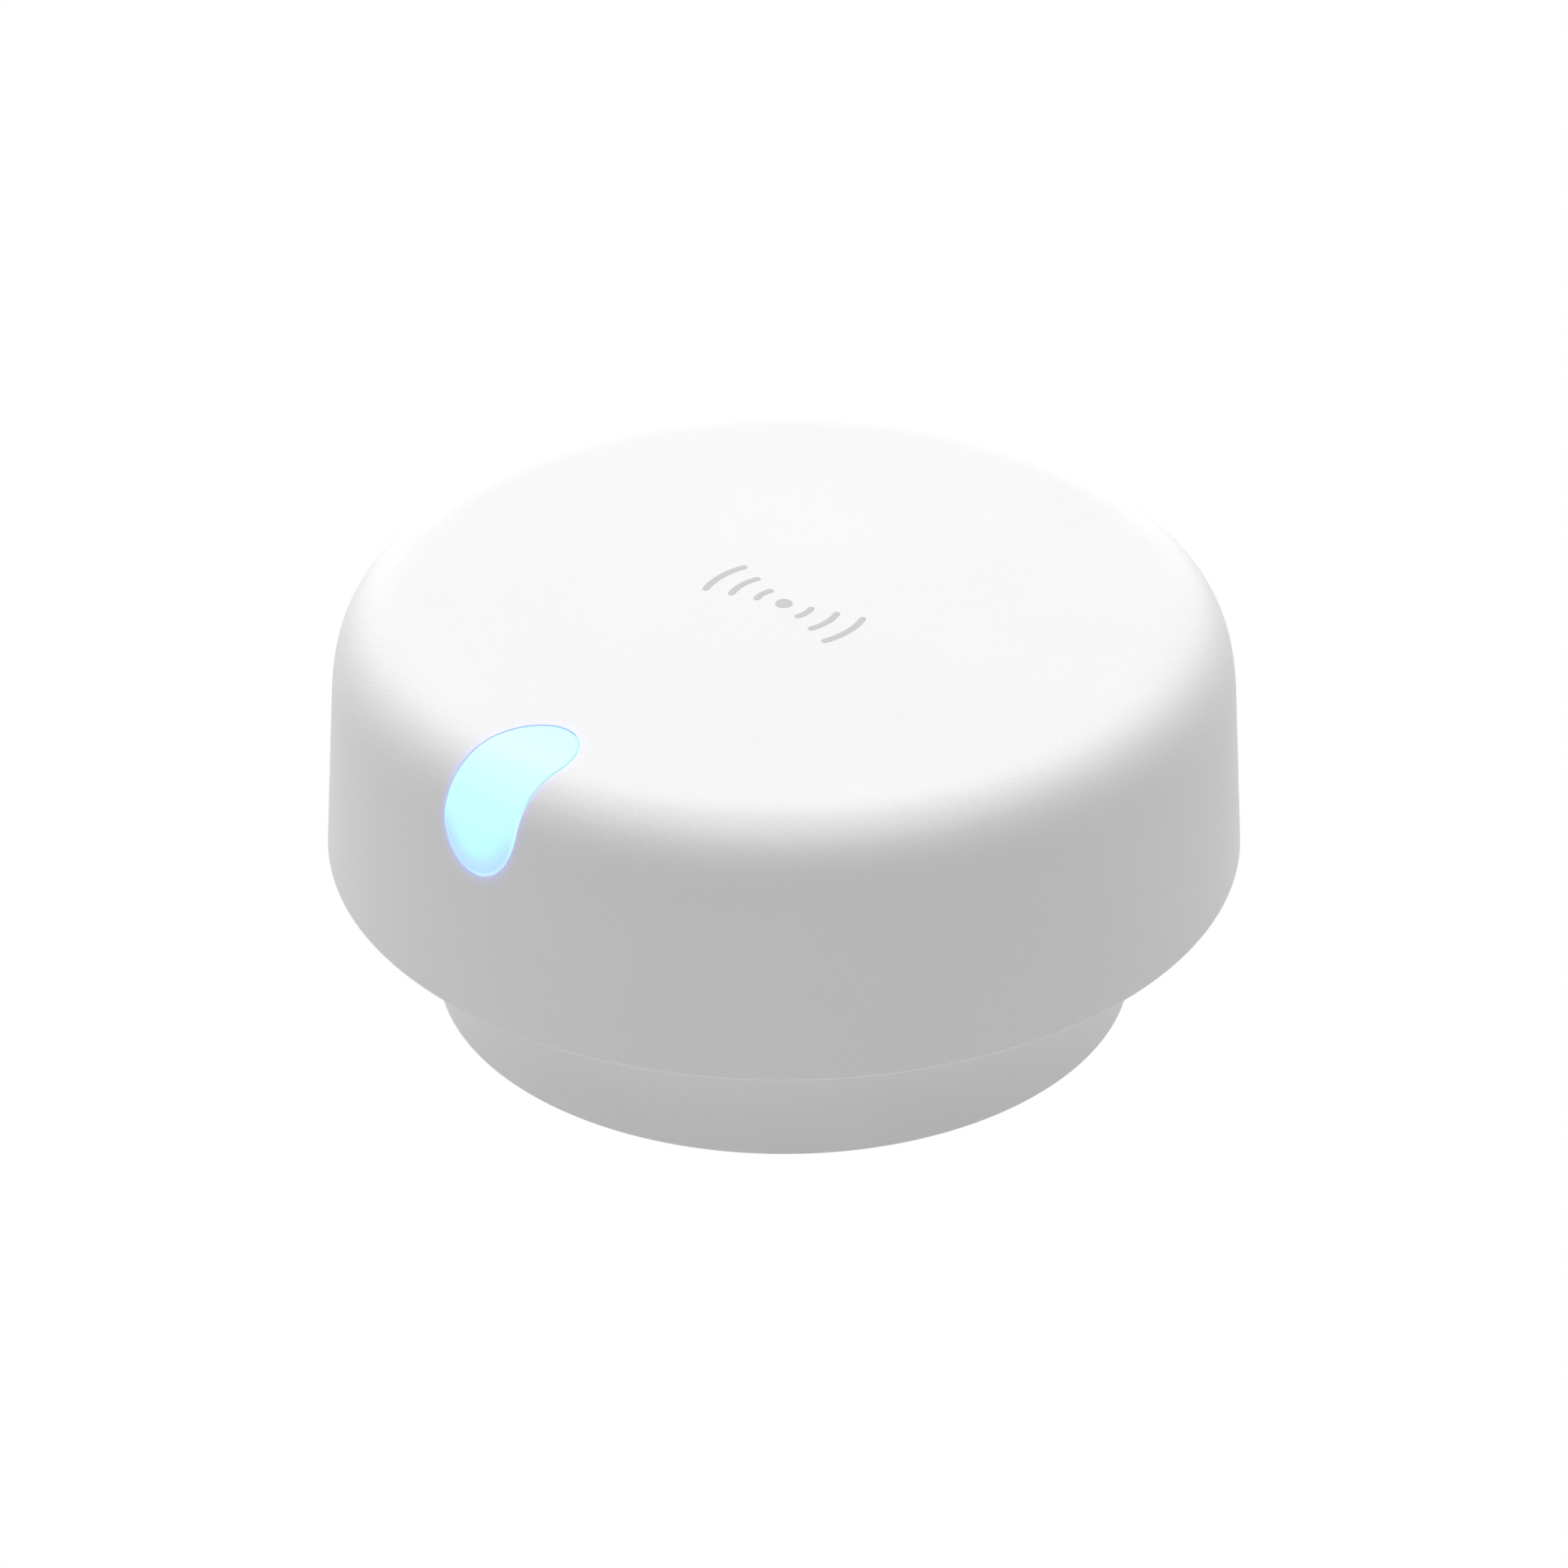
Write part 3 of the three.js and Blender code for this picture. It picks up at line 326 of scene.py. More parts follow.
stand_shell = turned("stand_body", rounded([
    (0, stand_roof, 0),
    (stand_radius - stand_wall, stand_roof, 0.4),
    (stand_radius - stand_wall, stand_low.z, 0.2),
    (stand_radius, stand_low.z, 0.1),
    (stand_radius, stand_top, 0.55),
    (0, stand_top, 0),
], steps=5), steps=256)
pocket = block(
    (-notch_half - notch_wall, -stand_radius + stand_wall / 2, notch_floor - notch_wall),
    (notch_half + notch_wall, notch_inner + notch_wall, stand_roof + stand_wall / 2),
)
envelope = post(stand_radius - stand_wall / 2, 0, 0, 0, stand_top, steps=256)
machined(pocket, envelope, operation="INTERSECT")
bosses = [post(boss_radius, x, y, plate_top + seat_gap, stand_roof + stand_wall / 2)
          for x, y in screw_places(stand_screw_circle)]
machined(stand_shell, pocket, *bosses, operation="UNION")
notch = eased(block(
    (-notch_half, hinge_y - 2 * knuckle_radius, notch_floor),
    (notch_half, notch_inner, stand_top + 2),
), notch_corner, segments=4)
pilots = [post(stand_screw["shank"] + screw_clearance, x, y, plate_top - 1, plate_top + stand_screw["length"])
          for x, y in screw_places(stand_screw_circle)]
machined(stand_shell, notch, *pilots)
knuckle = bar(knuckle_radius, -centre_half, centre_half, hinge_y, hinge_z)
web = block((-centre_half, hinge_y, hinge_z - knuckle_radius),
            (centre_half, notch_inner + notch_wall / 2, stand_top))
machined(stand_shell, knuckle, web, operation="UNION")
machined(stand_shell, bar(pin_radius + pin_clearance, -centre_half - 2, centre_half + 2, hinge_y, hinge_z))
eased(stand_shell, 0.1)
shaded(stand_shell)
white = (0.765, 0.765, 0.765)
white_clouded = (0.755, 0.755, 0.755)
shell_white = moulded(Nodes("shell_white_grained"), white, white_clouded)
fitted(stand_shell, shell_white, "stand", "shell_white", "stand_shell")

# ======== Screws ========
# Zinc-plated steel pan heads with a cross recess and a rolled thread, in sets of three on a circle.
# One tree makes every set: its inputs are the screw's sizes, its circle and where its head bears.


class Tree(Graph):
    """A Geometry Nodes tree with named inputs, and short calls for placing and joining its parts."""

    def __init__(self, name, *inputs):
        self.tree = bpy.data.node_groups.new(name, "GeometryNodeTree")
        self.tree.interface.new_socket("Geometry", in_out="INPUT", socket_type="NodeSocketGeometry")
        self.tree.interface.new_socket("Geometry", in_out="OUTPUT", socket_type="NodeSocketGeometry")
        for entry in inputs:
            self.tree.interface.new_socket(entry, in_out="INPUT", socket_type="NodeSocketFloat")
        self.tree.interface.new_socket("Material", in_out="INPUT", socket_type="NodeSocketMaterial")
        self.given = self.tree.nodes.new("NodeGroupInput").outputs

    def at(self, geometry, x=0.0, y=0.0, z=0.0):
        """The geometry moved to a place."""
        place = self.add("ShaderNodeCombineXYZ", {0: x, 1: y, 2: z}).outputs[0]
        return self.add("GeometryNodeTransform", {"Geometry": geometry, "Translation": place}).outputs[0]

    def joined(self, *parts):
        node = self.add("GeometryNodeJoinGeometry")
        for part in parts:
            self.feed(node.inputs[0], part)
        return node.outputs[0]

    def done(self, geometry):
        """Ends the tree: instances made real, and the material set."""
        real = self.add("GeometryNodeRealizeInstances", {0: geometry}).outputs[0]
        dressed = self.add("GeometryNodeSetMaterial", {"Geometry": real, "Material": self.given["Material"]})
        self.add("NodeGroupOutput", {0: dressed.outputs[0]})
        return self.tree


def grown(name, tree, material, **sizes):
    """The plain mesh that a tree makes from the named sizes, given in the tree's own units."""
    seed = bpy.data.meshes.new(name)
    piece = bpy.data.objects.new(name, seed)
    bpy.context.scene.collection.objects.link(piece)
    modifier = piece.modifiers.new("tree", "NODES")
    modifier.node_group = tree
    sockets = {item.name: item.identifier for item in tree.interface.items_tree if item.in_out == "INPUT"}
    for key, value in sizes.items():
        modifier[sockets[key.replace("_", " ").capitalize()]] = value
    modifier[sockets["Material"]] = material
    settled(piece)
    shape = bmesh.new()
    shape.from_mesh(piece.data)
    bmesh.ops.remove_doubles(shape, verts=shape.verts, dist=1e-8)
    bmesh.ops.recalc_face_normals(shape, faces=shape.faces)
    shape.to_mesh(piece.data)
    shape.free()
    return piece


def screw_tree():
    """Three screws on a circle, heads along Facing; the origin of each is under its head."""
    tree = Tree("screw_set", "Head", "Height", "Shank", "Length", "Circle", "Seat", "Facing")
    head, height, shank, length = (tree.given[key] for key in ("Head", "Height", "Shank", "Length"))
    rim = tree.math("MULTIPLY", height, 0.55)
    crown = tree.math("SUBTRACT", height, rim)
    disc = {"Vertices": 40, "Radius": head, "Depth": rim}
    cheese = tree.add("GeometryNodeMeshCylinder", disc).outputs["Mesh"]
    dome = tree.add("GeometryNodeMeshCone", {
        "Vertices": 40, "Side Segments": 3, "Radius Bottom": head,
        "Radius Top": tree.math("MULTIPLY", head, 0.74), "Depth": crown,
    }).outputs["Mesh"]
    above = tree.add("GeometryNodeMeshBoolean", operation="UNION", solver="EXACT")
    tree.feed(above.inputs[1], tree.at(cheese, z=tree.math("MULTIPLY", rim, 0.5)))
    tree.feed(above.inputs[1], tree.at(dome, z=rim))
    recess = tree.math("MULTIPLY", height, 0.62)
    wide = tree.math("MULTIPLY", head, 1.16)
    narrow = tree.math("MULTIPLY", head, 0.25)
    tall = tree.math("MULTIPLY", recess, 2)
    arms = []
    for first, second in ((wide, narrow), (narrow, wide)):
        size = tree.add("ShaderNodeCombineXYZ", {0: first, 1: second, 2: tall}).outputs[0]
        arm = tree.add("GeometryNodeMeshCube", {"Size": size}).outputs["Mesh"]
        arms.append(tree.at(arm, z=height))
    cross = tree.add("GeometryNodeMeshBoolean", {0: above.outputs[0]}, operation="DIFFERENCE", solver="EXACT")
    for arm in arms:
        tree.feed(cross.inputs[1], arm)
    core = tree.math("MULTIPLY", shank, 0.8)
    rod = {"Vertices": 24, "Radius": core, "Depth": length}
    stem = tree.add("GeometryNodeMeshCylinder", rod).outputs["Mesh"]
    turns = tree.math("DIVIDE", tree.math("MULTIPLY", length, 0.84), tree.math("MULTIPLY", shank, 0.55))
    helix = tree.add("GeometryNodeCurveSpiral", {
        "Resolution": 20, "Rotations": turns, "Start Radius": core, "End Radius": core,
        "Height": tree.math("MULTIPLY", length, 0.84),
    }).outputs["Curve"]
    ridge = tree.add("GeometryNodeCurvePrimitiveCircle", {
        "Resolution": 3, "Radius": tree.math("MULTIPLY", shank, 0.2),
    }, mode="RADIUS").outputs["Curve"]
    thread = tree.add("GeometryNodeCurveToMesh", {"Curve": helix, "Profile Curve": ridge, "Fill Caps": True})
    stem_low = tree.math("MULTIPLY", length, -0.5)
    thread_low = tree.math("MULTIPLY", length, -0.92)
    screw = tree.joined(cross.outputs[0], tree.at(stem, z=stem_low), tree.at(thread.outputs[0], z=thread_low))
    flip = tree.math("MULTIPLY", tree.math("LESS_THAN", tree.given["Facing"], 0.0), math.pi)
    turned_over = tree.add("ShaderNodeCombineXYZ", {0: flip}).outputs[0]
    places = tree.add("GeometryNodeMeshCircle", {"Vertices": 3, "Radius": tree.given["Circle"]}).outputs[0]
    placed = tree.at(places, z=tree.given["Seat"])
    first_turn = (0, 0, screw_turns[0])
    spun = tree.add("GeometryNodeTransform", {"Geometry": placed, "Rotation": first_turn}).outputs[0]
    set_of_three = tree.add("GeometryNodeInstanceOnPoints", {
        "Points": spun, "Instance": screw, "Rotation": turned_over,
    })
    return tree.done(set_of_three.outputs[0])


def plated_steel(name="zinc_plated_steel"):
    """Bright zinc plate, slightly clouded, with a fine bumpy grain."""
    nodes = Nodes(name)
    cloud = nodes.noise(0.8, detail=4.0)
    fine = nodes.noise(0.06, detail=2.0)
    return nodes.done(
        Base_Color=nodes.tinted(cloud, (0.52, 0.53, 0.55), (0.66, 0.67, 0.68)),
        Metallic=1.0,
        Roughness=nodes.spread(cloud, 0.24, 0.42, 0.3, 0.7),
        Normal=nodes.bumped(fine, 0.004),
    )


screw_steel = plated_steel()
screws = screw_tree()


def screw_set(name, body, sizes, circle, seat, facing):
    """One set of three screws in place of its CAD nodes, name_1 to name_3."""
    pieces = grown(
        name + "s", screws, screw_steel, head=sizes["head"] * MM, height=sizes["height"] * MM,
        shank=sizes["shank"] * MM, length=sizes["length"] * MM, circle=circle * MM, seat=seat * MM,
        facing=facing,
    )
    shaded(pieces, 30, flat_wins=False)
    fitted(pieces, screw_steel, body, "screw_steel", *[f"{name}_{k + 1}" for k in range(3)])


plate_low = box_mm("stand_bottom_plate")[0].z
screw_set("stand_screw", "stand", stand_screw, stand_screw_circle,
          plate_low + stand_screw["height"] + seat_gap / 2, -1.0)

# ======== Ballast ========
# Pressed steel plate, phosphated grey, that sits in the stand's hollow and keeps the tilted head
# from tipping the sensor over. It drops over the screw bosses and is held by the bottom plate.


def dressed(material, *nodes):
    """Gives CAD nodes whose shape is right their material."""
    for node in nodes:
        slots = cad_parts[node].data.materials
        slots.clear()
        slots.append(material)


def phosphated_steel():
    nodes = Nodes("phosphated_steel")
    crystals = nodes.cells(0.35)
    cloud = nodes.noise(5.0, detail=4.0)
    return nodes.done(
        Base_Color=nodes.tinted(cloud, (0.10, 0.10, 0.11), (0.17, 0.17, 0.18)),
        Metallic=0.8,
        Roughness=nodes.spread(crystals, 0.62, 0.8),
        Normal=nodes.bumped(crystals, 0.01),
    )


dressed(phosphated_steel(), "stand_ballast")

# ======== Bottom plate ========
# Moulded ABS disc that closes the stand. Three screws hold it, their heads sunk in counterbores.

inner_white = moulded(Nodes("inner_white_moulded"), (0.71, 0.71, 0.705), (0.69, 0.69, 0.685), grain=0.5,
                      depth=0.008, roughness=(0.52, 0.64))
dressed(inner_white, "stand_bottom_plate")

# ======== Foot pad ========
# Die-cut disc of pale grey silicone glued under the bottom plate. Rings pressed into its underside
# give it grip, and its edge is rounded.

pad_low, pad_high = box_mm("foot_pad")
pad_radius = pad_high.x
pad_round = 0.3
groove_pitch = 2.2
groove_half = 0.35
groove_depth = 0.25
groove_count = 8
groove_round = 0.08
first_groove = 3.2
pad_outline = [(0, pad_high.z, 0), (0, pad_low.z, 0)]
for k in range(groove_count):
    middle = first_groove + k * groove_pitch
    pad_outline += [
        (middle - groove_half, pad_low.z, groove_round),
        (middle - groove_half * 0.6, pad_low.z + groove_depth, groove_round),
        (middle + groove_half * 0.6, pad_low.z + groove_depth, groove_round),
        (middle + groove_half, pad_low.z, groove_round),
    ]
pad_outline += [(pad_radius, pad_low.z, pad_round), (pad_radius, pad_high.z, 0.15)]
foot_pad = shaded(turned("grip_pad", rounded(pad_outline, steps=3), steps=192))


def silicone():
    nodes = Nodes("silicone_grey")
    cloud = nodes.noise(2.5, detail=3.0)
    return nodes.done(
        Base_Color=nodes.tinted(cloud, (0.53, 0.54, 0.54), (0.60, 0.61, 0.61)),
        Roughness=nodes.spread(cloud, 0.7, 0.82, 0.3, 0.7),
        Normal=nodes.bumped(nodes.noise(0.12, detail=3.0), 0.01),
        Sheen_Weight=0.15,
        IOR=1.42,
    )


fitted(foot_pad, silicone(), "stand", "pad_rubber", "foot_pad")

# ======== Turntable ========
# Moulded disc that the head turns on. Its two knuckles and their leaves carry the hinge pin, and
# its hub goes up through the back cover.

head_low, head_high = box_mm("front_shell")
head_base = head_low.z
table_radius = 24.0
table_thickness = 2.6
table_top = head_base + table_thickness
hub_radius = 8.0
hub_top = box_mm("turntable")[1].z
hinge_washer_thickness = 0.5
outer_knuckle_inner = centre_half + hinge_washer_thickness + 2 * seat_gap
leaf_top = head_base - running_clearance
leaf_root = 1.2
leaf_inner = notch_inner - running_clearance
retainer_circle = 5.0
retainer_screw = {"head": 1.7, "height": 1.0, "shank": 0.9, "length": 5.0}
turntable = turned("swivel_disc", rounded([
    (0, head_base, 0),
    (table_radius, head_base, 0.4),
    (table_radius, table_top, 0.3),
    (hub_radius, table_top, 0.4),
    (hub_radius, hub_top, 0.3),
    (0, hub_top, 0),
]), steps=256)
for side in (-1, 1):
    low_x, high_x = sorted((side * outer_knuckle_inner, side * barrel_half))
    leaf = block((low_x, hinge_y - knuckle_radius, hinge_z), (high_x, leaf_inner, leaf_top))
    root = block((low_x, leaf_inner - leaf_root, hinge_z),
                 (high_x, leaf_inner, head_base + table_thickness / 2))
    machined(turntable, bar(knuckle_radius, low_x, high_x, hinge_y, hinge_z), leaf, root, operation="UNION")
retainer_pilots = [post(retainer_screw["shank"] + screw_clearance, x, y, hub_top - retainer_screw["length"],
                        hub_top + 1) for x, y in screw_places(retainer_circle)]
machined(turntable, bar(pin_radius + pin_clearance, -barrel_half - 1, barrel_half + 1, hinge_y, hinge_z),
         *retainer_pilots)
eased(turntable, 0.1)
shaded(turntable)
fitted(turntable, inner_white, "turntable", "inner_white", "turntable")

# ======== Hinge pin and washers ========
# Ground stainless pin, a drive fit in the outer knuckles, with a thin friction washer each side of
# the centre knuckle. The drag of the washers holds the tilt.

pin = shaded(bar(pin_radius, -barrel_half, barrel_half, hinge_y, hinge_z, edge=0.2))
pin.name = "tilt_pin"
fitted(pin, screw_steel, "turntable", "screw_steel", "hinge_pin")
washer_radius = 1.8
for side, name in ((-1, "left"), (1, "right")):
    near = centre_half + seat_gap
    low_x, high_x = sorted((side * near, side * (near + hinge_washer_thickness)))
    washer = bar(washer_radius, low_x, high_x, hinge_y, hinge_z, edge=0.08)
    machined(washer, bar(pin_radius + pin_clearance, low_x - 1, high_x + 1, hinge_y, hinge_z))
    washer.name = f"friction_washer_{name}"
    shaded(washer)
    fitted(washer, screw_steel, "turntable", "screw_steel", f"hinge_washer_{name}")

# ======== Wave washer, retaining disc and retainer screws ========
# Blued spring steel and stamped steel, screwed down on the turntable's hub. They hold the head on
# and give its swivel an even drag.


def spring_steel():
    nodes = Nodes("spring_steel_blued")
    cloud = nodes.noise(3.0, detail=3.0)
    return nodes.done(
        Base_Color=nodes.tinted(cloud, (0.14, 0.17, 0.24), (0.24, 0.25, 0.30)),
        Metallic=1.0,
        Roughness=nodes.spread(cloud, 0.28, 0.42, 0.3, 0.7),
        Normal=nodes.bumped(nodes.noise(0.1), 0.002),
    )


dressed(spring_steel(), "wave_washer")
dressed(screw_steel, "retaining_disc")
retainer_top = box_mm("retaining_disc")[1].z
screw_set("retainer_screw", "turntable", retainer_screw, retainer_circle, retainer_top + seat_gap / 2, 1.0)

# ======== Front shell ========
# Drafted round cup of white polycarbonate with a rounded rim and a barely crowned face, moulded in
# one piece with its three screw bosses. The button's window and the inlet's port are cut in it.

head_radius = head_high.x
ink_thickness = 0.02
face_top = head_high.z - ink_thickness
head_wall = 1.8
draft_slope = math.tan(math.radians(3))
corner_width = 5.55
corner_height = 6.9
corner_power = 3
crown_rise = 0.22
rim_z = face_top - crown_rise
corner_z = rim_z - corner_height
flat_radius = head_radius - corner_width - draft_slope * (rim_z - head_base)
shell_steps = 320
corner_steps = 44
crown_steps = 24
side_steps = 18
base_round = 0.3


def crown_height(radius):
    """The face's height: level in the middle and where it meets the rounded rim."""
    return rim_z + crown_rise * (1 - (radius / flat_radius) ** 2) ** 2


def head_outline():
    """The head's outer outline as (radius, height), from the base up the side and over to the axis."""
    outline = []
    for k in range(side_steps):
        height = head_base + base_round + (corner_z - head_base - base_round) * k / side_steps
        outline.append((head_radius - draft_slope * (height - head_base), height))
    for k in range(corner_steps + 1):
        angle = math.pi / 2 * k / corner_steps
        across = max(math.cos(angle), 0) ** (2 / corner_power)
        height = corner_z + corner_height * math.sin(angle) ** (2 / corner_power)
        radius = head_radius - corner_width * (1 - across) - draft_slope * (height - head_base)
        outline.append((radius, height))
    for k in range(1, crown_steps + 1):
        radius = flat_radius * (1 - k / crown_steps)
        outline.append((radius, crown_height(radius)))
    return np.array(outline)


def inset(outline, depth):
    """The outline moved into the wall, square to the surface."""
    along = np.gradient(outline, axis=0)
    along[-1] = (-1, 0)
    along /= np.linalg.norm(along, axis=1)[:, None]
    inner = outline + depth * np.column_stack((-along[:, 1], along[:, 0]))
    inner[-1, 0] = 0
    return inner


def slot_edge(angles, half_width, half_length):
    """Distance from the middle of a round-ended slot to its edge, by the angle from its short axis."""
    across = np.abs(np.cos(angles))
    along = np.abs(np.sin(angles))
    straight = half_length - half_width
    side = half_width / np.maximum(across, 1e-9)
    end = along * straight + np.sqrt(np.maximum(half_width ** 2 - (straight * across) ** 2, 0))
    return np.where(side * along <= straight, side, end)


class Opening:
    """A round-ended slot in a turned wall: its middle, its short and long axes, and its way out."""

    def __init__(self, middle, short, long, out, half_width, half_length):
        self.middle = np.array(middle, float)
        self.axes = np.array((short, long, out), float)
        self.half_width = half_width
        self.half_length = half_length

    def flat(self, points):
        """The points seen along the way out, as (short, long)."""
        return (points - self.middle) @ self.axes[:2].T

    def onto(self, flat, outline, drop=0.0):
        """The points of the turned surface that lie behind flat ones, lowered along the way out."""
        deepest = -14.0
        highest = 8.0
        halvings = 48
        base = self.middle + flat @ self.axes[:2]
        low = np.full(len(flat), deepest)
        high = np.full(len(flat), highest)
        for _ in range(halvings):
            half = (low + high) / 2
            spot = base + half[:, None] * self.axes[2]
            limit = np.interp(spot[:, 2], outline[:, 1], outline[:, 0], right=-1.0)
            inside = np.hypot(spot[:, 0], spot[:, 1]) <= limit
            low = np.where(inside, half, low)
            high = np.where(inside, high, half)
        return base + (low - drop)[:, None] * self.axes[2]


class Shell:
    """A turned wall built row by row, whose openings have their own rings of points round them."""

    def __init__(self, steps):
        self.steps = steps
        self.points = []
        self.faces = []

    def skin(self, outline):
        """Adds a turned surface; its last point is on the axis."""
        first = len(self.points)
        angles = 2 * np.pi * np.arange(self.steps) / self.steps
        for radius, height in outline[:-1]:
            self.points += list(zip(radius * np.cos(angles), radius * np.sin(angles), [height] * self.steps))
        self.points.append((0, 0, outline[-1][1]))
        rows = first + np.arange((len(outline) - 1) * self.steps).reshape(-1, self.steps)
        return np.vstack((rows, np.full(self.steps, len(self.points) - 1)))

    def clad(self, rows, gaps=()):
        """Adds the faces between rows, except inside each gap of (first row, last row, first, last)."""
        for j in range(len(rows) - 1):
            for k in range(self.steps):
                if any(a <= j < b and (k - c) % self.steps < (d - c) % self.steps for a, b, c, d in gaps):
                    continue
                n = (k + 1) % self.steps
                corners = (rows[j][k], rows[j][n], rows[j + 1][n], rows[j + 1][k])
                self.faces.append(list(dict.fromkeys(corners)))

    def border(self, rows, gap):
        """The points round a gap, in order."""
        a, b, c, d = gap
        across = [(c + k) % self.steps for k in range((d - c) % self.steps + 1)]
        up = list(range(a, b + 1))
        loop = [rows[a][k] for k in across] + [rows[j][across[-1]] for j in up[1:]]
        loop += [rows[b][k] for k in across[-2::-1]] + [rows[j][across[0]] for j in up[-2:0:-1]]
        return loop

    def ring(self, points):
        first = len(self.points)
        self.points += [tuple(point) for point in points]
        return list(range(first, first + len(points)))

    def bridge(self, ring, other):
        for k in range(len(ring)):
            n = (k + 1) % len(ring)
            self.faces.append([ring[k], ring[n], other[n], other[k]])


def opened(shell, opening, outer, outer_rows, inner, inner_rows, gaps, edge_round):
    """Adds the rings round an opening: down from the outer skin, through the wall, to the inner one."""
    outer_gap, inner_gap = gaps
    rim = shell.border(outer_rows, outer_gap)
    back = shell.border(inner_rows, inner_gap)
    rim_flat = opening.flat(np.array([shell.points[k] for k in rim]))
    back_flat = opening.flat(np.array([shell.points[k] for k in back]))
    angles = np.arctan2(rim_flat[:, 1], rim_flat[:, 0])
    toward = np.column_stack((np.cos(angles), np.sin(angles)))

    def edge(offset):
        reach = slot_edge(angles, opening.half_width + offset, opening.half_length + offset)
        return toward * reach[:, None]

    spread_steps = 14
    round_steps = 6
    back_steps = 8
    crowding = 1.6
    ring = rim
    for k in range(spread_steps - 1, -1, -1):
        share = (k / spread_steps) ** crowding
        flat = edge(edge_round) * (1 - share) + rim_flat * share
        ring, last = shell.ring(opening.onto(flat, outer)), ring
        shell.bridge(last, ring)
    for k in range(1, round_steps + 1):
        angle = math.pi / 2 * k / round_steps
        flat = edge(edge_round * (1 - math.sin(angle)))
        ring, last = shell.ring(opening.onto(flat, outer, edge_round * (1 - math.cos(angle)))), ring
        shell.bridge(last, ring)
    for k in range(back_steps):
        share = (k / back_steps) ** crowding
        flat = edge(0) * (1 - share) + back_flat * share
        ring, last = shell.ring(opening.onto(flat, inner)), ring
        shell.bridge(last, ring)
    shell.bridge(ring, back)


def rows_between(outline, key, low, high):
    """The first and last rows whose radius (key 0) or height (key 1) is within two limits."""
    inside = [k for k, point in enumerate(outline) if low <= point[key] <= high]
    return inside[0], inside[-1]


button_elevation = math.radians(45)
button_inset = 2.6
button_drop = 1.12
button_half_width = 3.15
button_half_length = 11.47 / 2
button_clearance = 0.06
button_middle = (0, head_radius - button_inset, head_high.z - button_drop)
button_out = (0, math.cos(button_elevation), math.sin(button_elevation))
button_along = (0, math.sin(button_elevation), -math.cos(button_elevation))
window = Opening(button_middle, (1, 0, 0), button_along, button_out,
                 button_half_width + button_clearance, button_half_length + button_clearance)
inlet_low, inlet_high = box_mm("usb_c_inlet")
inlet_mid_z = (inlet_low.z + inlet_high.z) / 2
inlet_half_width = (inlet_high.y - inlet_low.y) / 2
inlet_half_height = (inlet_high.z - inlet_low.z) / 2
port_clearance = 0.3
port = Opening((head_radius, 0, inlet_mid_z), (0, 0, 1), (0, -1, 0), (1, 0, 0),
               inlet_half_height + port_clearance, inlet_half_width + port_clearance)

outer = head_outline()
inner = inset(outer, head_wall)
foot_outer = rounded([
    (*inner[0], 0),
    (inner[0][0] + draft_slope * (inner[0][1] - head_base), head_base, 0.15),
    (head_radius, head_base, base_round * 0.4),
    (*outer[0], 0),
], steps=5)[1:]
wall = Shell(shell_steps)
outer_rows = wall.skin(outer)
inner_rows = wall.skin(inner)
# The patches of wall that give way to the rings round the openings: sides in degrees, the rest in mm.
patch_low = 19.2
patch_inner = 18.6
window_patch = 15
port_patch = 14
port_patch_low = 14.2
port_patch_high = 21.9
window_cols = tuple(round(shell_steps * (90 + side) / 360) for side in (-window_patch, window_patch))
port_cols = tuple(round(shell_steps * side / 360) % shell_steps for side in (-port_patch, port_patch))


def window_rows(outline):
    """The rows from the side, below the window, to the face beyond it."""
    low = next(k for k, point in enumerate(outline) if point[1] > patch_low)
    high = next(k for k, point in enumerate(outline) if point[0] < patch_inner)
    return low, high


outer_gaps = [
    (*window_rows(outer), *window_cols),
    (*rows_between(outer, 1, port_patch_low, port_patch_high), *port_cols),
]
inner_gaps = [
    (*window_rows(inner), *window_cols),
    (*rows_between(inner, 1, port_patch_low, port_patch_high), *port_cols),
]
wall.clad(outer_rows, outer_gaps)
wall.clad(inner_rows, inner_gaps)
window_round = 0.06
port_round = 0.15
opened(wall, window, outer, outer_rows, inner, inner_rows, (outer_gaps[0], inner_gaps[0]), window_round)
opened(wall, port, outer, outer_rows, inner, inner_rows, (outer_gaps[1], inner_gaps[1]), port_round)
ring = list(outer_rows[0])
turn = 2 * np.pi * np.arange(shell_steps) / shell_steps
for radius, height in reversed(foot_outer[:-1]):
    circle = np.column_stack((radius * np.cos(turn), radius * np.sin(turn), np.full(shell_steps, height)))
    ring, last = wall.ring(circle), ring
    wall.bridge(last, ring)
wall.bridge(ring, list(inner_rows[0]))
front_shell = piece_from("head_shell", wall.points, wall.faces)

back_low = box_mm("back_cover")[0].z
head_screw_circle = 27.9
head_boss_radius = 1.9
head_boss_height = 9.0
back_thickness = 2.0
head_screw = {"head": 1.5, "height": 0.9, "shank": 0.8, "length": 6.0}
head_boss_base = back_low + back_thickness + seat_gap
core = turned("core", [(0, head_base)] + [tuple(point) for point in inset(outer, head_wall / 2)], steps=96)
supports = []
for screw_turn, (x, y) in zip(screw_turns, screw_places(head_screw_circle)):
    supports.append(post(head_boss_radius, x, y, head_boss_base, head_boss_base + head_boss_height))
    rib = block((0, -head_boss_radius / 2, head_boss_base),
                (head_radius - head_screw_circle, head_boss_radius / 2, head_boss_base + head_boss_height))
    turned_out = Matrix.Translation((x, y, 0)) @ Matrix.Rotation(screw_turn, 4, "Z")
    supports.append(moved(rib, turned_out))
joined_supports = supports.pop(0)
machined(joined_supports, *supports, operation="UNION")
machined(joined_supports, core, operation="INTERSECT")
machined(front_shell, joined_supports, operation="UNION")
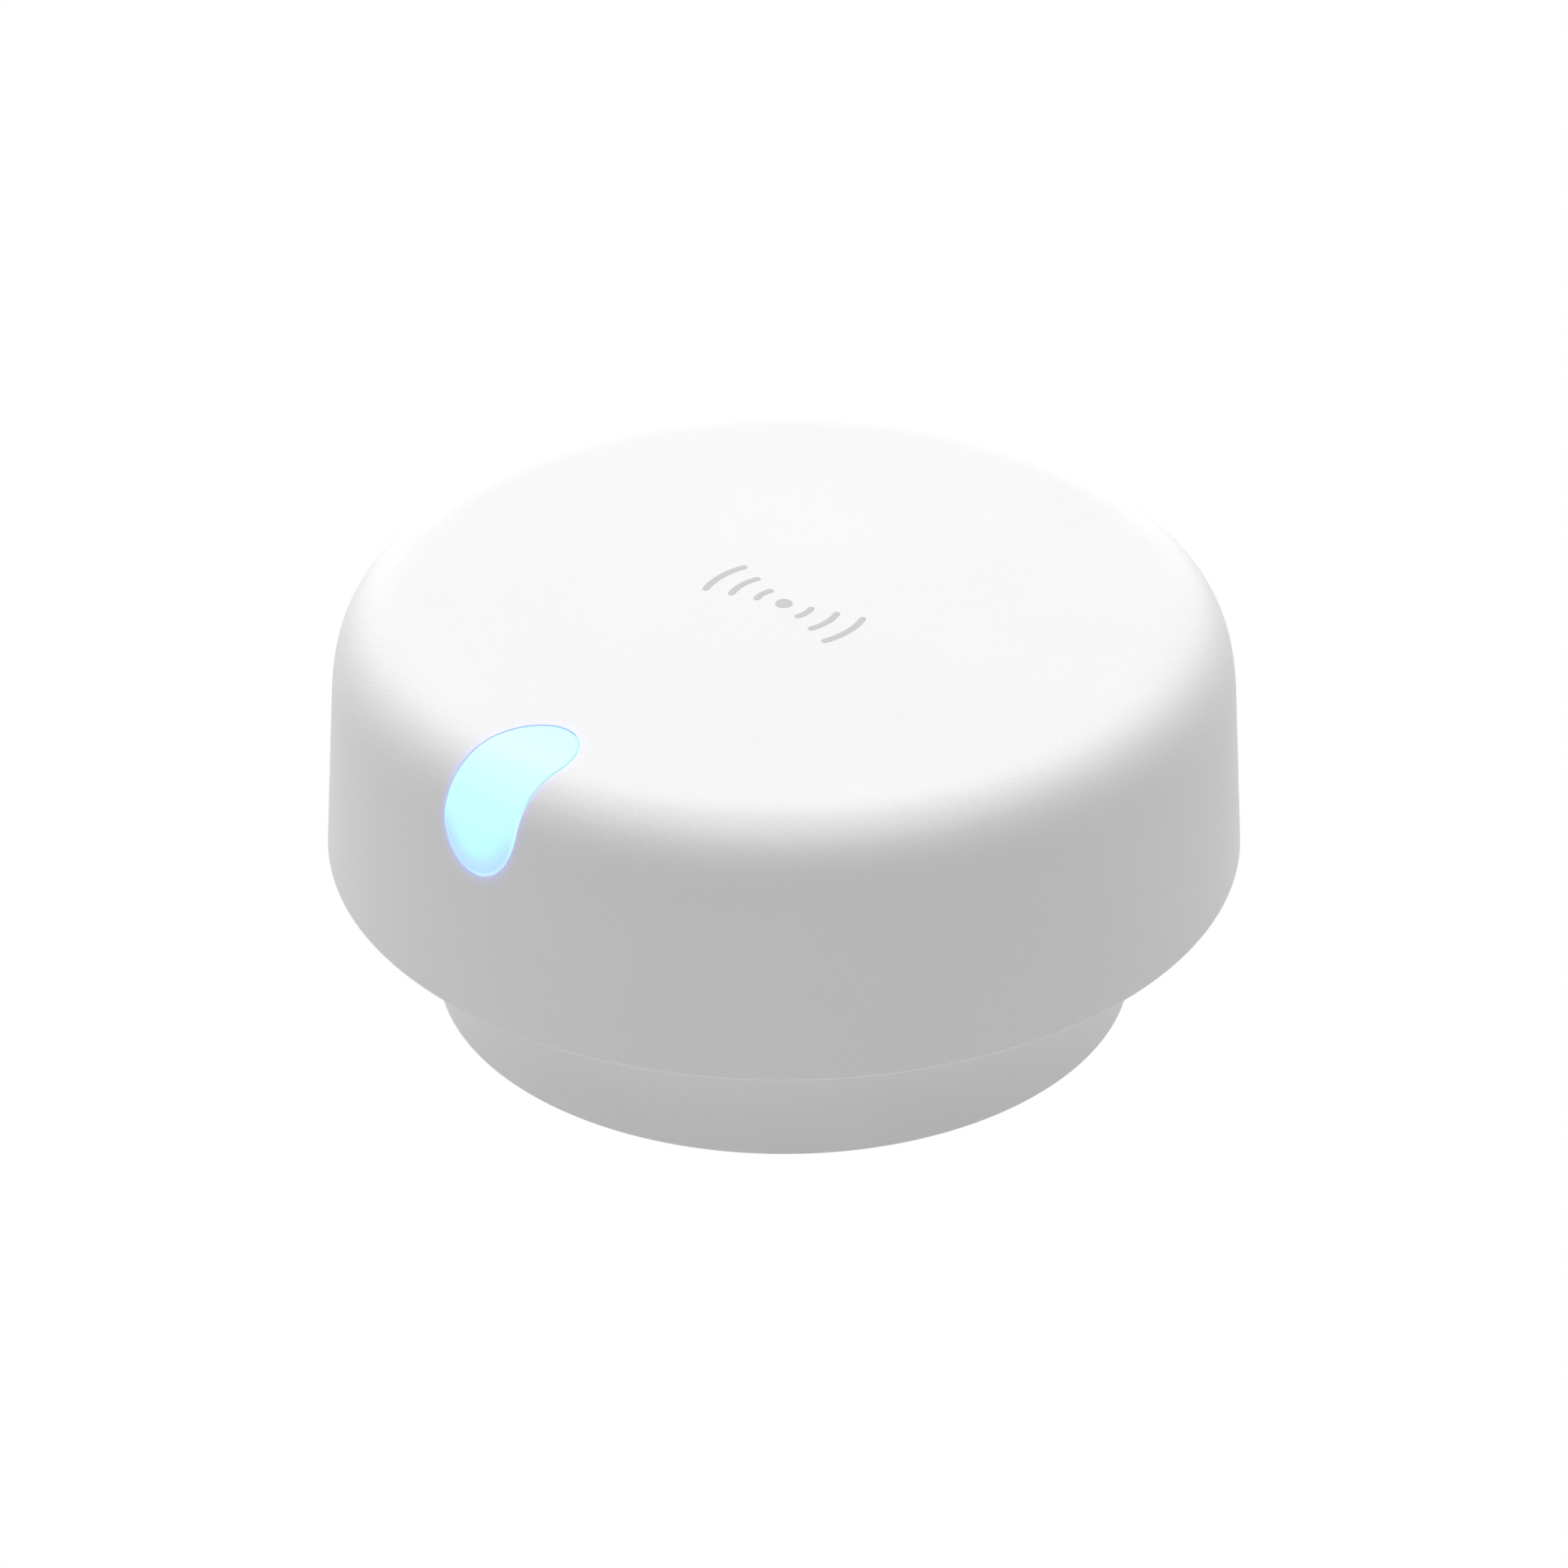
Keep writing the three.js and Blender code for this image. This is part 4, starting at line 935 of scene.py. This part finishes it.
head_pilots = [post(head_screw["shank"] + screw_clearance, x, y, back_low,
                    head_boss_base + head_screw["length"]) for x, y in screw_places(head_screw_circle)]
machined(front_shell, *head_pilots)
shaded(front_shell, 40, flat_wins=False)


def slot_offset(nodes, half_width, half_length):
    """Distance outwards from the outline of a slot at the button's place, seen along the button's axis."""
    apart = nodes.add("ShaderNodeSeparateXYZ", {0: nodes.place})
    lean = nodes.add("ShaderNodeVectorMath", {0: nodes.place, 1: button_along}, operation="DOT_PRODUCT")
    middle = Vector(button_middle).dot(Vector(button_along)) * MM
    along = nodes.math("SUBTRACT", lean.outputs["Value"], middle)
    past = nodes.math("MAXIMUM", nodes.math("SUBTRACT", nodes.math("ABSOLUTE", along),
                                            (half_length - half_width) * MM), 0.0)
    square = nodes.math("ADD", nodes.math("POWER", past, 2.0), nodes.math("POWER", apart.outputs["X"], 2.0))
    return nodes.math("SUBTRACT", nodes.math("SQRT", square), half_width * MM), along


def painted_window_glow(nodes):
    """Painted blue glow on the white plastic round the window's edge, standing in for light that leaks out of
    the window; it fades within a millimetre.
    """
    glow_reach = 0.25
    glow_strength = 0.34
    offset, _ = slot_offset(nodes, window.half_width, window.half_length)
    faded = nodes.math("EXPONENT", nodes.math("DIVIDE", nodes.math("MAXIMUM", offset, 0.0), -glow_reach * MM))
    upper = nodes.add("ShaderNodeSeparateXYZ", {0: nodes.place}).outputs["Y"]
    button_side = nodes.math("GREATER_THAN", upper, 0.5 * button_middle[1] * MM)
    # Painted glow: emission on the shell, on the button's side of the head only.
    strength = nodes.math("MULTIPLY", nodes.math("MULTIPLY", faded, glow_strength), button_side)
    return nodes.done(Emission_Color=(0.07, 0.12, 1.0, 1), Emission_Strength=strength)


head_nodes = Nodes("shell_white_painted_glow")
moulded(head_nodes, white, white_clouded)
fitted(front_shell, painted_window_glow(head_nodes), "head", "shell_white", "front_shell")

# ======== Back cover ========
# White moulded cover that closes the head. The turntable runs in its recess, the wave washer bears on
# its ceiling, the boards stand on its posts, and three sunk screws hold it to the front shell.

cover_wall_gap = 0.25
cover_radius = head_radius - head_wall - cover_wall_gap
recess_radius = table_radius + running_clearance
recess_wall = 1.4
ceiling_low = table_top + running_clearance
ceiling_top = ceiling_low + back_thickness
hub_hole = hub_radius + running_clearance
board_low = box_mm("main_board")[0].z
board_top = box_mm("main_board")[1].z
board_circle = 19.0
board_post_radius = 2.2
board_screw = {"head": 1.8, "height": 1.0, "shank": 0.9, "length": 4.0}
sink_clearance = 0.15
back_cover = turned("cover", rounded([
    (hub_hole, ceiling_low, 0.2),
    (recess_radius, ceiling_low, 0.3),
    (recess_radius, back_low, 0.3),
    (cover_radius, back_low, 0.35),
    (cover_radius, back_low + back_thickness, 0.2),
    (recess_radius + recess_wall, back_low + back_thickness, 0.4),
    (recess_radius + recess_wall, ceiling_top, 0.3),
    (hub_hole, ceiling_top, 0.2),
]), steps=256)
machined(back_cover, *[post(board_post_radius, x, y, ceiling_top - 0.8, board_low - seat_gap, edge=0.2)
                       for x, y in screw_places(board_circle)], operation="UNION")
board_pilots = [post(board_screw["shank"] + screw_clearance, x, y,
                     board_top - board_screw["length"] - seat_gap, board_top)
                for x, y in screw_places(board_circle)]
head_holes = [post(head_screw["shank"] + screw_clearance, x, y, 0, ceiling_top)
              for x, y in screw_places(head_screw_circle)]
head_sinks = [post(head_screw["head"] + sink_clearance, x, y, 0, back_low + head_screw["height"] + seat_gap)
              for x, y in screw_places(head_screw_circle)]
machined(back_cover, *board_pilots, *head_holes, *head_sinks)
eased(back_cover, 0.1)
shaded(back_cover)
fitted(back_cover, shell_white, "head", "shell_white", "back_cover")
screw_set("head_screw", "head", head_screw, head_screw_circle,
          back_low + head_screw["height"] + seat_gap / 2, -1.0)

# ======== Boards and what they carry ========
# The main board carries the radio, the power parts and the inlet. The radar board stands over it on
# nylon posts, and a bridge of aluminium draws the chip's heat down. A ribbon joins the button's board.


def solder_mask():
    """Green mask over copper: tracks show as slightly raised, lighter lines on a fine grid."""
    nodes = Nodes("solder_mask_green")
    track_pitch = 0.9
    track_share = 0.34
    apart = nodes.add("ShaderNodeSeparateXYZ", {0: nodes.place})
    run = nodes.noise(3.4, detail=1.0)
    lines = []
    for axis, shift in (("X", 0.0), ("Y", 0.5)):
        count = nodes.math("DIVIDE", apart.outputs[axis], track_pitch * MM)
        cycle = nodes.math("FRACT", nodes.math("ADD", count, shift))
        lines.append(nodes.math("LESS_THAN", cycle, track_share))
    choice = nodes.math("GREATER_THAN", run, 0.52)
    across = nodes.math("MULTIPLY", lines[0], choice)
    along = nodes.math("MULTIPLY", lines[1], nodes.math("SUBTRACT", 1.0, choice))
    track = nodes.math("ADD", across, along)
    return nodes.done(
        Base_Color=nodes.tinted(track, (0.010, 0.085, 0.040), (0.030, 0.170, 0.085)),
        Roughness=nodes.spread(track, 0.42, 0.32),
        Normal=nodes.bumped(track, 0.03),
        Coat_Weight=0.3,
    )


def epoxy_black():
    nodes = Nodes("epoxy_black")
    cloud = nodes.noise(0.15, detail=3.0)
    return nodes.done(
        Base_Color=nodes.tinted(cloud, (0.016, 0.016, 0.018), (0.030, 0.030, 0.033)),
        Roughness=nodes.spread(cloud, 0.5, 0.68, 0.3, 0.7),
        Normal=nodes.bumped(cloud, 0.01),
    )


def tinned_can():
    nodes = Nodes("tinned_can")
    along = nodes.add("ShaderNodeMapping", {"Vector": nodes.place, "Scale": (1, 12, 1)}).outputs[0]
    brushed = nodes.noise(0.5, detail=4.0, place=along)
    return nodes.done(
        Base_Color=nodes.tinted(brushed, (0.58, 0.58, 0.57), (0.70, 0.70, 0.69)),
        Metallic=1.0,
        Roughness=nodes.spread(brushed, 0.25, 0.4, 0.3, 0.7),
        Normal=nodes.bumped(brushed, 0.003),
    )


def moulded_nylon():
    nodes = Nodes("nylon_natural")
    cloud = nodes.noise(0.7, detail=2.0)
    return nodes.done(
        Base_Color=nodes.tinted(cloud, (0.68, 0.66, 0.58), (0.74, 0.72, 0.65)),
        Roughness=nodes.spread(cloud, 0.42, 0.55),
        Subsurface_Weight=0.2,
        Subsurface_Radius=(0.6 * MM, 0.5 * MM, 0.4 * MM),
        Normal=nodes.bumped(cloud, 0.01),
    )


def thermal_gel():
    nodes = Nodes("thermal_gel")
    cloud = nodes.noise(0.4, detail=4.0)
    return nodes.done(
        Base_Color=nodes.tinted(cloud, (0.22, 0.30, 0.38), (0.30, 0.39, 0.47)),
        Roughness=nodes.spread(cloud, 0.7, 0.9),
        Normal=nodes.bumped(cloud, 0.02),
    )


def rolled_aluminium():
    nodes = Nodes("rolled_aluminium")
    along = nodes.add("ShaderNodeMapping", {"Vector": nodes.place, "Scale": (10, 1, 1)}).outputs[0]
    brushed = nodes.noise(0.6, detail=4.0, place=along)
    return nodes.done(
        Base_Color=nodes.tinted(brushed, (0.62, 0.63, 0.64), (0.76, 0.77, 0.78)),
        Metallic=1.0,
        Roughness=nodes.spread(brushed, 0.3, 0.46, 0.3, 0.7),
        Normal=nodes.bumped(brushed, 0.004),
    )


def amber_film():
    """Polyimide film over copper tracks that run along the ribbon."""
    nodes = Nodes("polyimide_amber")
    track_pitch = 0.7
    apart = nodes.add("ShaderNodeSeparateXYZ", {0: nodes.place})
    cycle = nodes.math("FRACT", nodes.math("DIVIDE", apart.outputs["X"], track_pitch * MM))
    track = nodes.math("LESS_THAN", cycle, 0.5)
    return nodes.done(
        Base_Color=nodes.tinted(track, (0.35, 0.13, 0.025), (0.52, 0.22, 0.05)),
        Roughness=nodes.spread(track, 0.34, 0.26),
        Normal=nodes.bumped(track, 0.015),
        Coat_Weight=0.4,
    )


def lamp_lens():
    nodes = Nodes("lamp_lens")
    haze = nodes.noise(0.5, detail=2.0)
    return nodes.done(
        Base_Color=nodes.tinted(haze, (0.70, 0.66, 0.45), (0.80, 0.78, 0.62)),
        Roughness=nodes.spread(haze, 0.15, 0.25),
        Emission_Color=(0.75, 0.98, 1.0, 1),
        Emission_Strength=0.8,
    )


board_green = solder_mask()
part_black = epoxy_black()
nylon = moulded_nylon()
dressed(board_green, "main_board", "radar_board", "button_board")
dressed(part_black, "radar_chip", "power_inductor", "link_connector", "tactile_switch", "light_sensor")
dressed(tinned_can(), "radio_module")
dressed(nylon, *[f"radar_standoff_{k}" for k in (1, 2, 3, 4)], "switch_plunger")
dressed(thermal_gel(), "thermal_pad")
dressed(rolled_aluminium(), "heat_spreader")
dressed(amber_film(), "button_flex_cable")
dressed(lamp_lens(), "button_led_upper", "button_led_lower")
screw_set("board_screw", "head", board_screw, board_circle, board_top + seat_gap / 2, 1.0)

# ======== USB-C inlet ========
# Deep-drawn steel can with a rolled mouth, soldered under the main board's tab. Inside, a black
# tongue carries a row of gold contacts on each face.

inlet_back_x = inlet_low.x
inlet_mouth_x = inlet_high.x
can_wall = 0.35
can_back_wall = 1.0
tongue_half_width = 3.3
tongue_half_height = 0.35
tongue_setback = 0.5
can_levels = [
    (inlet_back_x, 0.3, 0),
    (inlet_back_x, 0.0, 0.25),
    (inlet_mouth_x, 0.0, 0.12),
    (inlet_mouth_x, can_wall, 0.12),
    (inlet_back_x + can_back_wall, can_wall, 0.15),
]


def round_bar_ring(offset, x, count=96):
    """Points round the can's section, drawn in by an offset, at a distance along X."""
    radius = inlet_half_height - offset
    reach = inlet_half_width - inlet_half_height
    points = []
    for k in range(count):
        angle = 2 * math.pi * (k + 0.5) / count
        side = reach if math.cos(angle) > 0 else -reach
        points.append((x, side + radius * math.cos(angle), inlet_mid_z + radius * math.sin(angle)))
    return points


can = Shell(96)
rings = []
for level in rounded([(offset + 50, x, size) for x, offset, size in can_levels], steps=4):
    rings.append(can.ring(round_bar_ring(level.x - 50, level.y)))
for ring, last in zip(rings[1:], rings[:-1]):
    can.bridge(last, ring)
can.faces.append(rings[0])
can.faces.append(rings[-1])
inlet_can = piece_from("inlet_can", can.points, can.faces)
shaded(inlet_can, 35)
fitted(inlet_can, tinned_can(), "head", "screw_steel", "usb_c_inlet")
tongue = eased(block(
    (inlet_back_x + can_back_wall - 0.3, -tongue_half_width, inlet_mid_z - tongue_half_height),
    (inlet_mouth_x - tongue_setback, tongue_half_width, inlet_mid_z + tongue_half_height),
), 0.12)
tongue.name = "inlet_tongue"
shaded(tongue)
tongue.data.materials.append(part_black)
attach(tongue, "head")


def contact_tree():
    """Rows of flat contacts on the two faces of the tongue; the row runs along Y."""
    tree = Tree("contact_rows", "Count", "Pitch", "Length", "Width", "Thickness", "Lift", "Mid x", "Mid z")
    size = tree.add("ShaderNodeCombineXYZ", {0: tree.given["Length"], 1: tree.given["Width"],
                                             2: tree.given["Thickness"]}).outputs[0]
    contact = tree.add("GeometryNodeMeshCube", {"Size": size}).outputs["Mesh"]
    pitch = tree.add("ShaderNodeCombineXYZ", {1: tree.given["Pitch"]}).outputs[0]
    half_run = tree.math("MULTIPLY", tree.math("MULTIPLY", tree.given["Pitch"], -0.5),
                         tree.math("SUBTRACT", tree.given["Count"], 1.0))
    start = tree.add("ShaderNodeCombineXYZ", {1: half_run}).outputs[0]
    row = tree.add("GeometryNodeMeshLine", {"Count": tree.given["Count"], "Start Location": start,
                                            "Offset": pitch}).outputs["Mesh"]
    contacts = tree.add("GeometryNodeInstanceOnPoints", {"Points": row, "Instance": contact}).outputs[0]
    rows = []
    for side in (1, -1):
        height = tree.math("MULTIPLY_ADD", tree.given["Lift"], side, tree.given["Mid z"])
        rows.append(tree.at(contacts, x=tree.given["Mid x"], z=height))
    return tree.done(tree.joined(*rows))


def gold_plate():
    nodes = Nodes("gold_plate")
    cloud = nodes.noise(0.3, detail=2.0)
    return nodes.done(
        Base_Color=nodes.tinted(cloud, (0.83, 0.56, 0.20), (0.93, 0.68, 0.30)),
        Metallic=1.0,
        Roughness=nodes.spread(cloud, 0.2, 0.32),
    )


contact_length = 3.2
contact_mid_x = inlet_mouth_x - tongue_setback - 0.3 - contact_length / 2
contacts = grown(
    "inlet_contacts", contact_tree(), gold_plate(), count=12.0, pitch=0.5 * MM, length=contact_length * MM,
    width=0.26 * MM, thickness=0.06 * MM, lift=(tongue_half_height + 0.01) * MM,
    mid_x=contact_mid_x * MM, mid_z=inlet_mid_z * MM,
)
shaded(contacts)
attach(contacts, "head")

# ======== Crescent button ========
# Milky polycarbonate light guide that follows the head's rounded rim and fills its window. Two
# lamps behind it light it, and its stem presses the switch when it is pushed in.

button_round = 0.12
button_rings = 14
button_edge_steps = 7
button_arc_steps = 48
button_side_steps = 28
button_floor = 5.3
button_face_depth = 3.42
flange_wall = head_wall + running_clearance
flange_thickness = 0.9
flange_half_width = button_half_width + 0.75
flange_half_length = 4.3
stem_radius = 1.1
stem_depth = 3.7
trim_half = 8.0
trim_depth = 9.0


def pad_on(name, outline, half_width, half_length, edge_round, floor_depth, thickness):
    """A solid whose top follows the turned surface behind a slot's outline, with a rounded edge."""
    slot = Opening(button_middle, (1, 0, 0), button_along, button_out, half_width, half_length)
    straight = half_length - half_width
    turn = np.pi * np.arange(button_arc_steps) / button_arc_steps
    side = straight * (1 - 2 * np.arange(button_side_steps) / button_side_steps)
    level = np.zeros(button_side_steps)
    arc_middle = np.full(button_arc_steps, straight)
    along = np.concatenate((arc_middle, side, -arc_middle, -side))
    arms = np.concatenate((
        np.column_stack((np.cos(turn), np.sin(turn))),
        np.column_stack((level - 1, level)),
        np.column_stack((-np.cos(turn), -np.sin(turn))),
        np.column_stack((level + 1, level)),
    ))
    spine = np.column_stack((np.zeros(len(along)), along))
    shell = Shell(len(along))
    top = []
    for k in range(button_edge_steps + 1):
        angle = math.pi / 2 * k / button_edge_steps
        flat = spine + arms * (half_width - edge_round * (1 - math.cos(angle)))
        top.append(slot.onto(flat, outline, edge_round * (1 - math.sin(angle))))
    for k in range(1, button_rings + 1):
        flat = spine + arms * (half_width - edge_round) * (1 - k / button_rings)
        top.append(slot.onto(flat, outline))
    out = np.array(button_out)
    rings = [shell.ring(points) for points in top]
    under = []
    for points in top:
        depth = -(points - slot.middle) @ out
        deeper = np.minimum(depth + thickness, floor_depth)
        under.append(shell.ring(points - (deeper - depth)[:, None] * out))
    for k in range(len(rings) - 1):
        shell.bridge(rings[k], rings[k + 1])
        shell.bridge(under[k], under[k + 1])
    shell.bridge(rings[0], under[0])
    return piece_from(name, shell.points, shell.faces)


button = pad_on("crescent_key", outer, button_half_width, button_half_length, button_round,
                button_floor, button_face_depth)
flange = pad_on("flange", inset(outer, flange_wall), flange_half_width, flange_half_length, 0.15,
                button_floor, flange_thickness)
stem_place = Matrix.Translation(button_middle) @ Matrix.Rotation(button_elevation - math.pi / 2, 4, "X")
stem = moved(post(stem_radius, 0, 0, -stem_depth, -head_wall / 2, edge=0.15), stem_place)
machined(button, flange, stem, operation="UNION")
below_floor = block((-trim_half, -trim_half, -trim_depth), (trim_half, trim_half, -button_floor))
machined(button, moved(below_floor, stem_place))
shaded(button, 40, flat_wins=False)


def light_guide():
    """Diffusing plastic lit from behind: pale cyan, bluer round the edge of the end on the side, with a
    painted highlight along its edge that turns to painted shade towards the other end.
    """
    nodes = Nodes("light_guide_lit")
    offset, along = slot_offset(nodes, button_half_width, button_half_length)
    reach = button_half_length * MM
    ramp = nodes.add("ShaderNodeValToRGB", {"Fac": nodes.spread(along, 0.0, 1.0, -reach, reach)})
    stops = ramp.color_ramp
    stops.elements[0].position = 0.1
    stops.elements[0].color = (0.49, 1.0, 1.0, 1)
    stops.elements[1].position = 0.82
    stops.elements[1].color = (0.48, 1.0, 1.0, 1)
    for position, red in ((0.37, 0.58), (0.55, 0.60), (0.72, 0.55)):
        stops.elements.new(position).color = (red, 1.0, 1.0, 1)
    near_edge = nodes.spread(offset, 0.0, 1.0, -1.7 * MM, 0.0, smooth=True)
    near_end = nodes.spread(along, 0.0, 1.0, 1.8 * MM, 4.6 * MM, smooth=True)
    blue = nodes.add("ShaderNodeMix", {0: nodes.math("MULTIPLY", near_edge, near_end)}, data_type="RGBA")
    nodes.feed(blue.inputs[6], ramp.outputs["Color"])
    nodes.feed(blue.inputs[7], (0.43, 0.68, 1.0, 1))
    # Painted highlight in a thin band at the key's edge: brighter towards one end of the key, turning to
    # painted shade towards the other.
    painted_rim_band = nodes.spread(offset, 0.0, 1.0, -0.12 * MM, -0.07 * MM, smooth=True)
    painted_rim_highlight_and_shade = nodes.spread(along, -0.2, 0.16, -1.0 * MM, 3.0 * MM, smooth=True)
    haze = nodes.noise(1.6, detail=2.0)
    return nodes.done(
        Base_Color=nodes.tinted(haze, (0.10, 0.13, 0.14), (0.12, 0.15, 0.16)),
        Roughness=nodes.spread(haze, 0.30, 0.38, 0.3, 0.7),
        Normal=nodes.bumped(nodes.noise(0.3), 0.003),
        Emission_Color=blue.outputs[2],
        Emission_Strength=nodes.math("MULTIPLY_ADD", painted_rim_band, painted_rim_highlight_and_shade, 0.9),
        IOR=1.58,
    )


fitted(button, light_guide(), "button", "light_guide", "crescent_button")

# ======== Printed mark ========
# Pale grey pad-printed ink in the middle of the face: a dot with three arcs spreading on each side,
# the plain sign for something that senses. The ink stands a hair above the face.


def mark_tree():
    """Arcs of rising radius on both sides of a dot, all one stroke wide."""
    tree = Tree("spreading_arcs", "Dot", "First", "Step", "Half sweep", "Stroke", "Thickness")
    half_sweep = tree.given["Half sweep"]
    ribbon = tree.add("GeometryNodeCurvePrimitiveQuadrilateral", {
        "Width": tree.given["Stroke"], "Height": tree.given["Thickness"],
    }, mode="RECTANGLE").outputs[0]
    dot = tree.add("GeometryNodeMeshCylinder", {
        "Vertices": 48, "Radius": tree.given["Dot"], "Depth": tree.given["Thickness"],
    }).outputs["Mesh"]
    tip = tree.add("GeometryNodeMeshCylinder", {
        "Vertices": 24, "Radius": tree.math("MULTIPLY", tree.given["Stroke"], 0.5),
        "Depth": tree.math("MULTIPLY", tree.given["Thickness"], 1.2),
    }).outputs["Mesh"]
    parts = [dot]
    for k in range(3):
        radius = tree.math("MULTIPLY_ADD", tree.given["Step"], float(k), tree.given["First"])
        arc = tree.add("GeometryNodeCurveArc", {
            "Resolution": 40, "Radius": radius, "Start Angle": tree.math("MULTIPLY", half_sweep, -1.0),
            "Sweep Angle": tree.math("MULTIPLY", half_sweep, 2.0),
        }, mode="RADIUS").outputs[0]
        swept = {"Curve": arc, "Profile Curve": ribbon, "Fill Caps": True}
        stroke = tree.add("GeometryNodeCurveToMesh", swept)
        ends = []
        for side in (1.0, -1.0):
            angle = tree.math("MULTIPLY", half_sweep, side)
            ends.append(tree.at(tip, x=tree.math("MULTIPLY", tree.math("COSINE", angle), radius),
                                y=tree.math("MULTIPLY", tree.math("SINE", angle), radius)))
        fan = tree.joined(stroke.outputs[0], *ends)
        other = tree.add("GeometryNodeTransform", {"Geometry": fan, "Rotation": (0, 0, math.pi)}).outputs[0]
        parts += [fan, other]
    return tree.done(tree.joined(*parts))


def grey_ink():
    nodes = Nodes("grey_ink")
    cloud = nodes.noise(0.25, detail=3.0)
    return nodes.done(
        Base_Color=nodes.tinted(cloud, (0.47, 0.47, 0.47), (0.51, 0.51, 0.51)),
        Roughness=nodes.spread(cloud, 0.5, 0.6, 0.3, 0.7),
        Normal=nodes.bumped(nodes.noise(0.34, detail=3.0, roughness=0.55), 0.008),
    )


mark_stroke = 0.49
mark = grown(
    "printed_mark", mark_tree(), grey_ink(), dot=0.6 * MM, first=2.0 * MM, step=1.9 * MM,
    half_sweep=math.radians(20), stroke=mark_stroke * MM, thickness=ink_thickness * MM,
)
for vertex in mark.data.vertices:
    vertex.co.z += (crown_height(vertex.co.xy.length / MM) + 0.3 * ink_thickness) * MM
shaded(mark, flat_wins=False)
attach(mark, "head")

# ======== Floor, light and camera ========
# A plain white floor that gives the low, even light, and five broad soft lights: one overhead, one
# behind, one behind on each side, and a faint one in front. The camera looks down on the button's side.

floor_half = 1500.0
floor_drop = 0.3
floor = piece_from("floor", [
    (-floor_half, -floor_half, -floor_drop), (floor_half, -floor_half, -floor_drop),
    (floor_half, floor_half, -floor_drop), (-floor_half, floor_half, -floor_drop),
], [(0, 1, 2, 3)])
floor_look = Nodes("floor_white")
floor_glow = floor_look.add("ShaderNodeEmission", {"Color": (1, 1, 1, 1), "Strength": 1.0})
see_through = floor_look.add("ShaderNodeBsdfTransparent")
underside = floor_look.add("ShaderNodeNewGeometry").outputs["Backfacing"]
floor_face = floor_look.add("ShaderNodeMixShader", {
    0: underside, 1: floor_glow.outputs[0], 2: see_through.outputs[0],
})
floor_look.feed(floor_look.tree.nodes["Material Output"].inputs["Surface"], floor_face.outputs[0])
floor_look.tree.nodes.remove(floor_look.shader)
floor.data.materials.append(floor_look.material)

world = bpy.data.worlds.new("room")
world.use_nodes = True
room = world.node_tree
seen = room.nodes.new("ShaderNodeLightPath").outputs["Is Camera Ray"]
room.nodes["Background"].inputs["Color"].default_value = (1, 1, 1, 1)
room.links.new(seen, room.nodes["Background"].inputs["Strength"])
bpy.context.scene.world = world
bpy.context.scene.view_settings.view_transform = "Standard"

view_azimuth = math.radians(221.3)
view_elevation = math.radians(31.3)
view_distance = 557.4
aim_height = 14.9
stand_point_height = 14.4
view_back = Vector((
    math.sin(view_azimuth) * math.cos(view_elevation),
    -math.cos(view_azimuth) * math.cos(view_elevation),
    math.sin(view_elevation),
))
camera = bpy.data.objects.new("camera", bpy.data.cameras.new("camera"))
bpy.context.scene.collection.objects.link(camera)
camera.location = (view_back * view_distance + Vector((0, 0, stand_point_height))) * MM
look = Vector((0, 0, aim_height)) * MM - camera.location
camera.rotation_euler = look.to_track_quat("-Z", "Y").to_euler()
camera.data.lens = 182.8
camera.data.sensor_width = 36
camera.data.clip_start = 0.05
camera.data.clip_end = 20
bpy.context.scene.camera = camera


def soft_light(name, share, turn, height):
    """A broad soft light; turn is degrees round from the camera, and a share of 1 lights white fully."""
    lamp = bpy.data.lights.new(name, "SUN")
    lamp.energy = share * math.pi
    lamp.angle = math.radians(60)
    light = bpy.data.objects.new(name, lamp)
    bpy.context.scene.collection.objects.link(light)
    around = view_azimuth + math.radians(turn)
    up = math.radians(height)
    source = Vector((math.sin(around) * math.cos(up), -math.cos(around) * math.cos(up), math.sin(up)))
    light.rotation_euler = source.to_track_quat("Z", "Y").to_euler()


soft_light("top_light", 0.78, 0, 90)
soft_light("back_light", 0.57, 180, 15)
soft_light("left_light", 0.267, -135, 20)
soft_light("right_light", 0.2, 135, 20)
soft_light("front_fill", 0.053, -45, 45)
